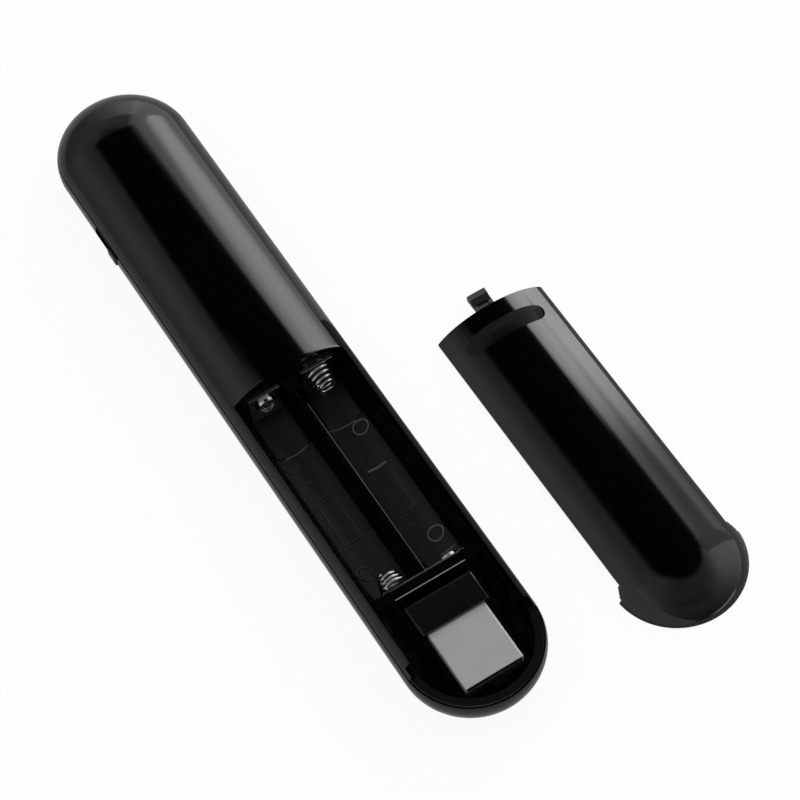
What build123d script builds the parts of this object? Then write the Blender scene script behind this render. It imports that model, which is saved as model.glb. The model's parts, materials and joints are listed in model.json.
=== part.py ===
from build123d import *
import os
from math import asin, atan, cos, degrees, radians, sin, sqrt

# Wireless presenter, lying on its front (button) face with the battery cover taken off
# and laid down beside it. Millimetres. The origin is the centre of the front face,
# +Y points to the laser nose, +X to the cover and +Z up through the open back.

# ---- housing ------------------------------------------------------------------------
body_length = 153.6
body_width = 27.2
body_height = 16.4
widest_level = 8.2  # height at which the cross-section is widest
front_flat_width = 8.2  # flat strip of the front face that it lies on
shell_wall = 1.6
parting_level = 10.2  # where front and rear shell meet
parting_groove = 0.3  # rebate round the joint of the two shells
shell_gap = 0.1  # between a shell edge and the cover
tray_gap = 0.15  # round the battery tray

# ---- battery opening ----------------------------------------------------------------
opening_width = 23.4
rail_edge_level = 12.3  # top of the side rails beside the opening
rail_step_height = 0.9
rail_step_length = 2.0
rail_end_offset = 1.0  # from the centre of the round end to the end of the rails

# ---- battery bays -------------------------------------------------------------------
cell_diameter = 10.5
cell_clearance = 0.1
cell_axis_level = 8.7
bay_length = 47.1
bay_ridge_width = 0.6
bay_ridge_level = 10.0
bay_relief_depth = 0.35
bay_relief_inset_top = 9.4
bay_relief_inset_low = 4.6
trough_wall = 1.1
tray_side_level = 11.2
tray_setback = 0.4  # from the opening's edge to the contact wall
contact_wall = 2.0
bay_wall = 2.1
bay_wall_width = 14.8
bay_step_level = 8.9
parting_block_width = 3.0
parting_block_length = 1.9
stop_block_x = 9.85  # inner face of the blocks that end the side walls
stop_block_length = 1.8
stop_block_level = 11.9

# ---- contacts -----------------------------------------------------------------------
plate_thickness = 0.3
plate_width = 6.6
plate_bottom_level = 4.6
plate_top_level = 12.2
bridge_top_level = 11.0
bridge_overhang = 2.9
cup_radius = 2.1
cup_bore_radius = 1.35
cup_height = 0.7
dimple_radius = 0.7
spring_wire_radius = 0.25
spring_wire_sides = 8
spring_base_radius = 2.8
spring_tip_radius = 1.7
spring_length = 3.5
spring_pitch = 1.0
spring_lift = 0.4  # spring axis above the cell axis
leg_width = 1.6
leg_length = 2.2

# ---- stored receiver ----------------------------------------------------------------
plug_tail_gap = 5.5  # from the housing's lower end to the plug's tip
receiver_width = 13.8
receiver_length = 6.8
receiver_thickness = 6.0
receiver_chamfer = 0.7
receiver_edge_radius = 0.35
plug_width = 12.0
plug_height = 4.5
plug_length = 12.5
plug_sheet = 0.3
plug_corner_radius = 0.5
tongue_thickness = 1.85
tongue_setback = 0.4
pad_count = 4
pad_pitch = 2.3
pad_width = 1.2
pad_thickness = 0.15
pocket_floor_level = 5.5
pocket_floor_thickness = 1.2
pocket_finger_gap = 1.9
pocket_clearance = 0.2
pocket_rib = 0.8
pocket_rib_level = 9.4
boss_length = 5.4
boss_width = 1.8
boss_height = 4.4
seat_gap = 0.05

# ---- battery cover ------------------------------------------------------------------
cover_wall = 1.4
cover_skirt_depth = 1.0
cover_rim_gap = 0.15
cover_flare = 0.6  # share of the full width that the cover has at the end of the rails
groove_length = 17.2
groove_width = 4.0
groove_depth = 0.15  # at its shallow upper edge
groove_slope = 10  # degrees that its floor falls towards the lower edge
groove_offset = 5.8
tab_width = 3.9
tab_length = 4.8
tab_root_length = 5.0
tab_bottom_level = 13.1
tab_top_level = 14.0
tab_lip_level = 14.5
tab_lip_length = 1.0
tab_window_width = 2.3
tab_window_depth = 0.4
tab_window_inset = 0.3
cover_rest_x = 41.2
cover_rest_y = -3.7

# ---- buttons on the front face --------------------------------------------------------
dish_width = 12.4
dish_depth = 1.0
dish_margin = 6.0
dish_draft = 35
dish_floor_wall = 1.4
row_nose_pitches = 0.893  # from the board's nose end to the first key, in key pitches
row_low_pitches = 1.321  # from the last key to the board's lower end, in key pitches
long_key_gap = 2.6  # between two long keys
round_key_gap = 4.2  # between two round keys
button_proud = 0.6
button_gap = 0.15
button_edge = 0.3
button_travel = 0.5
flange_width = 0.7
flange_thickness = 0.6
plunger_radius = 0.9
plunger_clearance = 0.05
plunger_length = 1.3
tact_width = 6.0
tact_gap = 0.7
button_names = ["laser", "next", "back", "blank"]

# ---- circuit board --------------------------------------------------------------------
board_level = 5.8
board_thickness = 1.0
board_side_gap = 3.4  # from the housing's widest point to the board
board_wall_gap = 0.5
board_nose_gap = 16.8  # from the nose to the board
board_post_side_gap = 2.2  # from the board's side to the middle of a post
board_post_radius = 2.0
board_pin_radius = 0.7
board_pin_height = 0.9
board_post_inset = 4.0
chip_size = 7.0
chip_height = 1.0
chip_offset = 3.6  # below the third key
crystal_length = 5.0
crystal_width = 3.2
crystal_offset = 2.4  # below the fourth key

# ---- laser ------------------------------------------------------------------------------
laser_level = 7.0
laser_radius = 3.0
laser_length = 11.0
laser_nose_gap = 14.8  # from the nose to the back of the laser module
laser_bore_radius = 1.2
laser_bore_depth = 3.0
cradle_thickness = 1.2
cradle_inset = 2.2
window_radius = 2.4
window_gap = 0.03
light_offset = 1.6  # from the board's nose end
light_radius = 0.8
light_flange_radius = 1.4
light_flange_thickness = 0.5
light_chip_size = 1.6

# ---- power switch -----------------------------------------------------------------------
switch_slot_offset = 18.0  # from the board's nose end to the slot's lower end
switch_slot_length = 8.8
switch_slot_height = 2.6
switch_slot_level = 8.5
switch_knob_length = 3.3
switch_knob_height = 2.2
switch_knob_proud = 0.35
switch_end_gap = 0.2
switch_travel = 4.5
switch_plate_thickness = 0.8
switch_plate_height = 3.8
switch_plate_depth = 3.2  # from the housing's widest point to the plate's inner face
switch_plate_margin = 0.7
switch_can_depth = 3.5
switch_can_length = 9.4
switch_can_height = 3.0
switch_can_gap = 1.1
lever_width = 1.5
lever_height = 1.3
lever_engagement = 0.9
lever_clearance = 0.1

# ---- derived places ---------------------------------------------------------------------
half_width = body_width / 2
half_length = body_length / 2
end_centre_y = half_length - half_width
opening_half = opening_width / 2
second_step_y = -end_centre_y - rail_end_offset
first_step_y = second_step_y + rail_step_length
rail_step_level = parting_level + rail_step_height
trough_radius = cell_diameter / 2 + cell_clearance
bay_x = trough_radius + bay_ridge_width / 2
tray_half = opening_half - tray_gap
plug_tip_y = -half_length + plug_tail_gap
receiver_front_y = plug_tip_y + plug_length
receiver_back_y = receiver_front_y + receiver_length
pocket_start_y = receiver_back_y + pocket_finger_gap
bay_end_y = pocket_start_y + bay_wall
contact_y = bay_end_y + bay_length
opening_top_y = contact_y + tray_setback
board_start_y = contact_y + contact_wall + board_wall_gap
board_end_y = half_length - board_nose_gap
button_pitch = (board_end_y - board_start_y) / (len(button_names) - 1 + row_nose_pitches + row_low_pitches)
button_length = button_pitch - long_key_gap
button_width = button_pitch - round_key_gap
first_button_y = board_end_y - row_nose_pitches * button_pitch
board_half = half_width - board_side_gap
board_post_x = board_half - board_post_side_gap
switch_plate_x = switch_plate_depth - half_width
laser_start_y = half_length - laser_nose_gap
light_y = board_end_y - light_offset
switch_slot_start_y = board_end_y - switch_slot_offset
receiver_bottom = pocket_floor_level + seat_gap
receiver_top = receiver_bottom + receiver_thickness
plug_level = (receiver_bottom + receiver_top) / 2
board_top = board_level + board_thickness
cap_face_level = dish_depth - button_proud
flange_level = dish_depth + dish_floor_wall + seat_gap
switch_slot_y = switch_slot_start_y + switch_slot_length / 2
switch_knob_y = switch_slot_start_y + switch_end_gap + switch_knob_length / 2
far = 4 * body_length  # larger than anything, for cutting tools


def block(x0: float, x1: float, y0: float, y1: float, z0: float, z1: float) -> Part:
    """Box between two corners."""
    return Pos((x0 + x1) / 2, (y0 + y1) / 2, (z0 + z1) / 2) * Box(x1 - x0, y1 - y0, z1 - z0)


def slab(z0: float, z1: float) -> Part:
    """Everything between two heights."""
    return block(-far, far, -far, far, z0, z1)


def rod(x: float, z: float, radius: float, y0: float, y1: float) -> Part:
    """Cylinder along Y."""
    return Pos(x, (y0 + y1) / 2, z) * Rot(90, 0, 0) * Cylinder(radius, y1 - y0)


def upright(x: float, y: float, radius: float, z0: float, z1: float) -> Part:
    """Cylinder along Z."""
    return Pos(x, y, (z0 + z1) / 2) * Cylinder(radius, z1 - z0)


def slot_prism(y: float, length: float, width: float, z0: float, z1: float) -> Part:
    """Upright prism with round ends, long side along Y."""
    outline = SlotOverall(length, width, rotation=90) if length > width else Circle(width / 2)
    return extrude(Pos(0, y, z0) * outline, z1 - z0)


def half_section(inset: float) -> Face:
    """Right half of the housing's cross-section in XZ, moved inwards by inset."""
    flat = front_flat_width / 2
    side = half_width - inset
    top = body_height - inset
    outline = [
        Line((0, inset), (flat, inset)),
        EllipticalCenterArc(
            (flat, widest_level), side - flat, widest_level - inset, start_angle=-90, arc_size=90
        ),
        EllipticalCenterArc((0, widest_level), side, top - widest_level, start_angle=0, arc_size=90),
        Line((0, top), (0, inset)),
    ]
    return Plane.XZ * make_face(outline)


def body_form(inset: float) -> Part:
    """Whole housing as a solid: straight domed bar with two revolved round ends."""
    half = half_section(inset)
    bar = extrude(Pos(0, -end_centre_y, 0) * half, 2 * end_centre_y, dir=(0, 1, 0))
    bar += mirror(bar, about=Plane.YZ)
    end = revolve(half, Axis.Z, 180)
    return bar + Pos(0, end_centre_y, 0) * end + Pos(0, -end_centre_y, 0) * Rot(0, 0, 180) * end


outer_form = body_form(0)
inner_form = body_form(shell_wall)
tray_form = body_form(shell_wall + tray_gap)
cover_inner_form = body_form(cover_wall)


def button_y(index: int) -> float:
    """Centre of one button along the body."""
    return first_button_y - index * button_pitch


def dish_prism(spread: float, z0: float, z1: float) -> Part:
    """Upright prism round all buttons."""
    span = (len(button_names) - 1) * button_pitch
    centre = (button_y(0) + button_y(len(button_names) - 1)) / 2
    return slot_prism(centre, span + 2 * dish_margin + 2 * spread, dish_width + 2 * spread, z0, z1)


def board_posts() -> list[tuple[float, float]]:
    """Places of the four posts that carry the circuit board."""
    ends = (board_start_y + board_post_inset, board_end_y - board_post_inset)
    return [(x, y) for x in (-board_post_x, board_post_x) for y in ends]


def front_shell() -> Part:
    """Lower half of the housing with the button dish, board posts and laser cradle."""
    shell = outer_form - inner_form
    shell += dish_prism(shell_wall / 2, shell_wall / 2, dish_depth + dish_floor_wall)
    posts = Part() + [upright(x, y, board_post_radius, 0, board_level) for x, y in board_posts()]
    posts += [upright(x, y, board_pin_radius, 0, board_top + board_pin_height) for x, y in board_posts()]
    cradle_ys = (laser_start_y + cradle_inset, laser_start_y + laser_length - cradle_inset)
    cradle_half = laser_radius + cradle_thickness
    posts += [
        block(-cradle_half, cradle_half, y - cradle_thickness / 2, y + cradle_thickness / 2, 0, laser_level)
        for y in cradle_ys
    ]
    pad_top = cell_axis_level - trough_radius - trough_wall
    for y in (contact_y - bay_relief_inset_top, bay_end_y + bay_relief_inset_low):
        for x in (-bay_x, bay_x):
            posts += block(x - trough_wall, x + trough_wall, y - trough_wall, y + trough_wall, 0, pad_top)
    shell += posts & body_form(shell_wall / 2)
    shell -= rod(0, laser_level, laser_radius, laser_start_y, laser_start_y + laser_length)
    shell -= rod(0, laser_level, window_radius, laser_start_y, half_length + shell_wall)
    shell &= slab(-shell_wall, parting_level - parting_groove) + body_form(parting_groove)
    shell &= slab(-shell_wall, parting_level)
    dish_outline = dish_prism(0, 0, dish_depth).faces().sort_by(Axis.Z)[0]
    shell -= extrude(dish_outline, -dish_depth, taper=dish_draft)
    for index in range(len(button_names)):
        shell -= button_prism(index, button_gap, -shell_wall, board_level)
    shell -= upright(0, light_y, light_radius, -shell_wall, board_level)
    slot_low = switch_slot_level - switch_slot_height / 2
    slot_high = switch_slot_level + switch_slot_height / 2
    slot_end = switch_slot_start_y + switch_slot_length
    slot_x = -half_width - shell_wall
    return shell - block(slot_x, -half_width / 2, switch_slot_start_y, slot_end, slot_low, slot_high)


def opening_tool(gap: float) -> Part:
    """Space above the parting level that the battery cover takes, made larger by gap."""
    top_y = opening_top_y + gap
    half = opening_half + gap
    tool = block(-half, half, second_step_y, top_y, parting_level, far)
    tool += block(-far, far, -far, first_step_y + gap, rail_step_level - gap, far)
    tool += block(-far, far, -far, second_step_y + gap, parting_level - shell_wall, far)
    return tool


def rear_shell() -> Part:
    """Upper half of the housing: closed over the nose, two stepped rails beside the bays."""
    shell = (outer_form - inner_form) & slab(parting_level, far)
    shell -= opening_tool(0)
    rails_top = block(-far, far, -far, opening_top_y, rail_edge_level, far)
    return shell - rails_top


def trough(level: float, radius: float, y0: float, y1: float, top: float) -> Part:
    """Both battery troughs as one tool: round below, straight sides above."""
    tool = Part()
    for x in (-bay_x, bay_x):
        tool += rod(x, level, radius, y0, y1)
        tool += block(x - radius, x + radius, y0, y1, level, top)
    return tool


def stop_block(spread: float) -> Part:
    """Block at the right end of the tray's side wall; spread makes its recess in the cover."""
    return block(
        stop_block_x - spread,
        tray_half + spread * half_width,
        first_step_y - spread,
        first_step_y + stop_block_length + spread,
        pocket_floor_level,
        stop_block_level + spread,
    )


def receiver_pocket() -> Part:
    """Floor and ribs round the stored receiver."""
    back = pocket_start_y
    floor_low = pocket_floor_level - pocket_floor_thickness
    inner_half = receiver_width / 2 + pocket_clearance
    plug_half = plug_width / 2 + pocket_clearance
    outer_half = inner_half + pocket_rib
    shoulder_y = receiver_front_y - pocket_clearance
    tip_y = plug_tip_y - pocket_clearance
    pocket = block(-far, far, -half_length, back, floor_low, pocket_floor_level)
    pocket += block(-outer_half, outer_half, shoulder_y - pocket_rib, back, floor_low, pocket_rib_level)
    plug_outer = plug_half + pocket_rib
    pocket += block(-plug_outer, plug_outer, tip_y - pocket_rib, shoulder_y, floor_low, pocket_rib_level)
    pocket -= block(-inner_half, inner_half, shoulder_y, back, pocket_floor_level, far)
    pocket -= block(-plug_half, plug_half, tip_y, shoulder_y, pocket_floor_level, far)
    catch_half = 1.5 * pocket_rib
    pocket += block(
        -catch_half, catch_half, tip_y - 2.5 * pocket_rib, tip_y - pocket_rib / 2, floor_low, parting_level
    )
    for side in (-1, 1):
        x = side * (outer_half + tray_half) / 2
        y = receiver_back_y - receiver_length / 2
        boss = extrude(SlotOverall(boss_length, boss_width, rotation=90), boss_height)
        pocket += Pos(x, y, floor_low) * boss
    return pocket


def bay_cross_wall() -> Part:
    """Wall between the bays and the receiver, with a looped spring rib at its right end."""
    low = cell_axis_level - trough_radius
    wall = block(-bay_wall_width / 2, bay_wall_width / 2, pocket_start_y, bay_end_y, low, tray_side_level)
    wall += block(-tray_half, tray_half, pocket_start_y, bay_end_y, low, bay_step_level)
    loop_radius = bay_wall / 2 + pocket_rib / 2
    loop_x = bay_wall_width / 2 + loop_radius
    loop_y = (pocket_start_y + bay_end_y) / 2
    loop = upright(loop_x, loop_y, loop_radius, low, tray_side_level)
    loop += block(
        loop_x, tray_half, loop_y - pocket_rib / 2, loop_y + pocket_rib / 2, low, tray_side_level
    )
    return wall + loop - upright(loop_x, loop_y, loop_radius - pocket_rib, bay_step_level, far)


def contact_end_wall() -> Part:
    """Wall that carries the upper contacts and closes the bays towards the electronics."""
    wall = block(-tray_half, tray_half, contact_y, contact_y + contact_wall, shell_wall, far) & tray_form
    notch_half = tab_width / 2 + pocket_clearance
    wall -= block(-notch_half, notch_half, -far, far, tab_bottom_level - pocket_clearance, far)
    half = leg_width / 2 + shell_gap
    for x in (-bay_x, bay_x):
        wall -= block(x - half, x + half, -far, far, board_top, board_top + plate_thickness + shell_gap)
    return wall


def battery_tray() -> Part:
    """Moulded inner tray: two battery troughs, their walls and the receiver pocket."""
    tray = trough(cell_axis_level, trough_radius + trough_wall, pocket_start_y, contact_y, tray_side_level)
    tray -= trough(cell_axis_level, trough_radius, bay_end_y, contact_y, far)
    relief_top = contact_y - bay_relief_inset_top
    relief_low = bay_end_y + bay_relief_inset_low
    tray -= trough(cell_axis_level - bay_relief_depth, trough_radius, relief_low, relief_top, cell_axis_level)
    tray -= block(-bay_ridge_width, bay_ridge_width, bay_end_y, contact_y, bay_ridge_level, far)
    half = parting_block_width / 2
    tray += block(-half, half, contact_y - parting_block_length, contact_y, cell_axis_level, tray_side_level)
    rail_x = tray_half - trough_wall / 2
    rail = block(rail_x, tray_half, first_step_y, bay_end_y, pocket_floor_level, tray_side_level)
    tray += rail + mirror(rail, about=Plane.YZ)
    tray += bay_cross_wall()
    tray += receiver_pocket()
    slot_half = bay_x + bridge_overhang + seat_gap
    slot_y = bay_end_y + plate_thickness + seat_gap
    tray -= block(-slot_half, slot_half, bay_end_y, slot_y, plate_bottom_level - seat_gap, far)
    tray &= slab(0, tray_side_level)
    tray += stop_block(0) + mirror(stop_block(0), about=Plane.YZ)
    lip = block(-tray_half, tray_half, first_step_y, contact_y, parting_level, stop_block_level)
    return (tray & (tray_form + lip)) + contact_end_wall()


def contact_plate(x: float, y: float, facing: int, top: float, width: float) -> Part:
    """Flat contact plate whose back is at y, its face towards facing * Y."""
    face = y + facing * plate_thickness
    return block(x - width / 2, x + width / 2, min(y, face), max(y, face), plate_bottom_level, top)


def contact_cup(x: float, y: float, facing: int) -> Part:
    """Raised ring with a dimple that touches a cell's positive end."""
    face = y + facing * plate_thickness
    rim = face + facing * cup_height
    nub = face + facing * cup_height / 2
    low, high = min(face, rim), max(face, rim)
    cup = rod(x, cell_axis_level, cup_radius, low, high) - rod(x, cell_axis_level, cup_bore_radius, low, high)
    return cup + rod(x, cell_axis_level, dimple_radius, min(face, nub), max(face, nub))


def contact_leg(x: float) -> Part:
    """Solder leg that runs back through the tray wall onto the circuit board."""
    end_y = contact_y + contact_wall + leg_length
    half = leg_width / 2
    top = board_top + plate_thickness
    return block(x - half, x + half, contact_y - plate_thickness, end_y, board_top, top)


def contact_spring(x: float, y: float, facing: int) -> Part:
    """Conical coil that stands on a contact plate whose back is at y."""
    start = y + facing * (plate_thickness + spring_wire_radius)
    cone = -degrees(atan((spring_base_radius - spring_tip_radius) / spring_length))
    path = Helix(spring_pitch, spring_length, spring_base_radius, cone_angle=cone)
    wire = Plane(path @ 0, z_dir=path % 0) * RegularPolygon(spring_wire_radius, spring_wire_sides)
    coil = sweep(wire, path, is_frenet=True)
    return Pos(x, start, cell_axis_level + spring_lift) * Rot(-90 * facing, 0, 0) * coil


def cover_outline() -> Part:
    """Upright prism of the cover's plan: straight sides that flare at the end of the rails."""
    half = opening_half - shell_gap
    flare_y = second_step_y - shell_gap
    flare = half + (half_width - half) * cover_flare
    right = [
        (half, far),
        (half, first_step_y),
        (flare, flare_y),
        (half_width, flare_y - cover_flare),
        (half_width, -far),
    ]
    left = [(-x, y) for x, y in reversed(right)]
    return extrude(make_face(Polyline(*right, *left, close=True)), body_height)


def thumb_groove() -> Part:
    """Cutting tool of the thumb groove, whose floor follows the dome and falls towards its lower edge."""
    middle_y = opening_top_y - groove_offset
    outline = Pos(0, middle_y, 0) * extrude(SlotOverall(groove_length, groove_width), body_height)
    hinge = Pos(0, middle_y + groove_width / 2, body_height - groove_depth)
    sloped = hinge * Rot(groove_slope, 0, 0) * hinge.inverse() * body_form(groove_depth)
    return outline - sloped


def battery_cover() -> Part:
    """Cover in its closed place: domed skin, side skirts, finger groove and latch tab."""
    space = opening_tool(-shell_gap)
    rim_level = parting_level + cover_rim_gap
    skirt_level = rail_edge_level + shell_gap - cover_skirt_depth
    space -= slab(-far, rim_level)
    space -= block(-far, far, first_step_y - shell_gap, far, -far, skirt_level)
    cover = (outer_form - cover_inner_form) & space & cover_outline()
    recess = stop_block(tray_gap)
    cover -= recess + mirror(recess, about=Plane.YZ)
    cover -= thumb_groove()
    root_y = opening_top_y - tab_root_length
    tip_y = opening_top_y + tab_length
    lip_y = tip_y - tab_lip_length
    top = body_height - cover_wall / 2
    profile = Polyline(
        (root_y, top),
        (root_y, tab_top_level),
        (root_y + tab_root_length / 3, tab_bottom_level),
        (tip_y, tab_bottom_level),
        (tip_y, tab_lip_level),
        (lip_y, tab_lip_level),
        (lip_y - tab_lip_length, tab_top_level),
        (opening_top_y, tab_top_level),
        (opening_top_y - 2 * shell_gap, top),
        close=True,
    )
    tab = extrude(Plane.YZ * make_face(profile), tab_width / 2, both=True)
    window_half = tab_window_width / 2
    window_end = lip_y - tab_lip_length - tab_window_inset
    window_start = opening_top_y + tab_window_inset
    window_low = tab_top_level - tab_window_depth
    tab -= block(-window_half, window_half, window_start, window_end, window_low, far)
    return cover + tab


def cover_at_rest(cover: Part) -> Part:
    """Cover laid down beside the body, rocked until its end rim and its skirts touch down."""
    skirt_level = rail_edge_level + shell_gap - cover_skirt_depth
    rim_level = parting_level + cover_rim_gap
    span = abs(second_step_y - opening_top_y)
    pitch = degrees(asin((skirt_level - rim_level) / span))
    laid = Rot(-pitch, 0, 0) * cover
    return Pos(cover_rest_x, cover_rest_y, -laid.bounding_box().min.Z) * laid


def receiver_housing() -> Part:
    """Plastic body of the stored USB receiver."""
    half = receiver_width / 2
    case = block(-half, half, receiver_front_y, receiver_back_y, receiver_bottom, receiver_top)
    top_back = case.faces().sort_by(Axis.Y)[-1].edges().sort_by(Axis.Z)[-1]
    case = chamfer(top_back, receiver_chamfer)
    return fillet(case.edges().filter_by(Axis.Y), receiver_edge_radius)


def plug_outline(inset: float) -> Sketch:
    """Rounded rectangle of the plug in XZ."""
    corner = plug_corner_radius - inset if plug_corner_radius > inset else plug_sheet
    return Plane.XZ * RectangleRounded(plug_width - 2 * inset, plug_height - 2 * inset, corner)


def plug_run(inset: float, y0: float, y1: float) -> Part:
    """Plug outline run along Y."""
    return Pos(0, y0, plug_level) * extrude(plug_outline(inset), y1 - y0, dir=(0, 1, 0))


def plug_shell() -> Part:
    """Folded steel sleeve of the USB plug, open at its tip."""
    return plug_run(0, plug_tip_y, receiver_front_y) - plug_run(plug_sheet, plug_tip_y, receiver_front_y)


def plug_tongue() -> Part:
    """Contact carrier inside the plug, against its upper wall."""
    inside = plug_run(plug_sheet, plug_tip_y + tongue_setback, receiver_front_y)
    top = plug_level + plug_height / 2
    return inside & slab(top - plug_sheet - tongue_thickness, top)


def plug_pad(index: int) -> Part:
    """One gold contact under the tongue."""
    x = (index - (pad_count - 1) / 2) * pad_pitch
    top = plug_level + plug_height / 2 - plug_sheet - tongue_thickness
    start = plug_tip_y + 3 * tongue_setback
    return block(x - pad_width / 2, x + pad_width / 2, start, receiver_front_y, top - pad_thickness, top)


def button_prism(index: int, spread: float, z0: float, z1: float) -> Part:
    """Upright prism of one button's outline; the laser and blanking buttons are round."""
    ends = (0, len(button_names) - 1)
    length = button_width if index in ends else button_length
    return slot_prism(button_y(index), length + 2 * spread, button_width + 2 * spread, z0, z1)


def button_cap(index: int) -> Part:
    """Key that shows in the dish, with the flange that keeps it in."""
    key = button_prism(index, 0, cap_face_level, flange_level + flange_thickness)
    face = key.faces().sort_by(Axis.Z)[0]
    key = chamfer(face.edges(), button_edge)
    return key + button_prism(index, flange_width, flange_level, flange_level + flange_thickness)


def button_plunger(index: int) -> Part:
    """Switch plunger that stands on the key's back."""
    base = flange_level + flange_thickness
    return upright(0, button_y(index), plunger_radius, base, base + plunger_length)


def tact_switch(index: int) -> Part:
    """Switch body under the board, bored for its plunger."""
    low = flange_level + flange_thickness + tact_gap
    half = tact_width / 2
    y = button_y(index)
    body = block(-half, half, y - half, y + half, low, board_level)
    bore_top = flange_level + flange_thickness + plunger_length + button_travel + seat_gap
    return body - upright(0, y, plunger_radius + plunger_clearance, low, bore_top)


def circuit_board() -> Part:
    """Board in the nose half, pinned on its four posts."""
    board = block(-board_half, board_half, board_start_y, board_end_y, board_level, board_top)
    for x, y in board_posts():
        board -= upright(x, y, board_pin_radius + seat_gap, 0, body_height)
    return board


def laser_barrel() -> Part:
    """Brass laser module lying in the cradle."""
    end_y = laser_start_y + laser_length
    barrel = rod(0, laser_level, laser_radius, laser_start_y, end_y)
    return barrel - rod(0, laser_level, laser_bore_radius, end_y - laser_bore_depth, end_y)


def laser_window() -> Part:
    """Clear window flush in the nose, from the laser module to the outer surface."""
    start = laser_start_y + laser_length + seat_gap
    return rod(0, laser_level, window_radius - window_gap, start, half_length) & body_form(seat_gap)


def status_light() -> Part:
    """Light pipe from its chip down through the front face."""
    chip_level = board_level - light_flange_thickness
    flange = upright(0, light_y, light_flange_radius, shell_wall, shell_wall + light_flange_thickness)
    return flange + upright(0, light_y, light_radius - window_gap, cap_face_level, chip_level)


def status_chip() -> Part:
    """Light source on the board above the light pipe."""
    half = light_chip_size / 2
    low = board_level - light_flange_thickness
    return block(-half, half, light_y - half, light_y + half, low, board_level)


def switch_slider() -> Part:
    """Knob of the power switch with the plate that closes the slot from inside."""
    margin = switch_plate_margin
    start = switch_knob_y - switch_knob_length / 2 - switch_end_gap - margin - switch_travel
    end = switch_slot_start_y + switch_slot_length + margin
    half = switch_plate_height / 2
    outer_x = switch_plate_x - switch_plate_thickness
    plate = block(outer_x, switch_plate_x, start, end, switch_slot_level - half, switch_slot_level + half)
    knob_half = switch_knob_height / 2
    knob_x = -half_width - switch_knob_proud
    knob = block(
        knob_x,
        outer_x,
        switch_knob_y - switch_knob_length / 2,
        switch_knob_y + switch_knob_length / 2,
        switch_slot_level - knob_half,
        switch_slot_level + knob_half,
    )
    knob = fillet(knob.faces().sort_by(Axis.X)[0].edges(), switch_knob_proud)
    return plate + knob


def switch_lever(spread: float = 0, travel: float = 0) -> Part:
    """Lever between slider and switch; spread and travel make the slot it runs in."""
    can_x = switch_plate_x + switch_can_gap
    half = lever_width / 2 + spread
    low = switch_slot_level - lever_height / 2 - spread
    high = switch_slot_level + lever_height / 2 + spread
    start = switch_knob_y - half
    end = switch_knob_y + travel + half
    return block(switch_plate_x, can_x + lever_engagement + spread, start, end, low, high)


def switch_can() -> Part:
    """Slide switch on the board's edge."""
    can_x = switch_plate_x + switch_can_gap
    y = switch_knob_y + switch_travel / 2
    half = switch_can_length / 2
    can = block(can_x, can_x + switch_can_depth, y - half, y + half, board_top, board_top + switch_can_height)
    return can - switch_lever(lever_clearance, switch_travel)


def board_part(x: float, y: float, width: float, length: float, height: float) -> Part:
    """Component on the board's upper side."""
    half_x = width / 2
    half_y = length / 2
    return block(x - half_x, x + half_x, y - half_y, y + half_y, board_top, board_top + height)


parts = {
    "front_shell": front_shell(),
    "rear_shell": rear_shell(),
    "battery_tray": battery_tray(),
    "positive_plate": contact_plate(-bay_x, contact_y, -1, plate_top_level, plate_width)
    + contact_cup(-bay_x, contact_y, -1)
    + contact_leg(-bay_x),
    "spring_plate": contact_plate(bay_x, contact_y, -1, plate_top_level, plate_width) + contact_leg(bay_x),
    "upper_spring": contact_spring(bay_x, contact_y, -1),
    "bridge_plate": contact_plate(0, bay_end_y, 1, bridge_top_level, 2 * (bay_x + bridge_overhang))
    + contact_cup(bay_x, bay_end_y, 1),
    "lower_spring": contact_spring(-bay_x, bay_end_y, 1),
    "circuit_board": circuit_board(),
    "controller_chip": board_part(0, button_y(2) - chip_offset, chip_size, chip_size, chip_height),
    "crystal_can": board_part(0, button_y(3) - crystal_offset, crystal_length, crystal_width, chip_height),
    "laser_barrel": laser_barrel(),
    "laser_window": laser_window(),
    "status_light": status_light(),
    "status_chip": status_chip(),
    "switch_can": switch_can(),
    "switch_slider": switch_slider(),
    "switch_lever": switch_lever(),
    "receiver_housing": receiver_housing(),
    "plug_shell": plug_shell(),
    "plug_tongue": plug_tongue(),
    "battery_cover": cover_at_rest(battery_cover()),
}
for number in range(pad_count):
    parts[f"plug_pad_{number + 1}"] = plug_pad(number)
for number, name in enumerate(button_names):
    parts[f"{name}_button"] = button_cap(number)
    parts[f"{name}_plunger"] = button_plunger(number)
    parts[f"{name}_switch"] = tact_switch(number)

os.makedirs("parts", exist_ok=True)
for name, part in parts.items():
    export_step(part, f"parts/{name}.step")
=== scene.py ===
"""Studio scene of a wireless presenter that lies on its keys with its battery cover off."""

from __future__ import annotations

import json
import logging
import math
from contextlib import contextmanager
from dataclasses import dataclass, field
from enum import Enum
from typing import Callable, Iterator, Sequence

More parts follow.
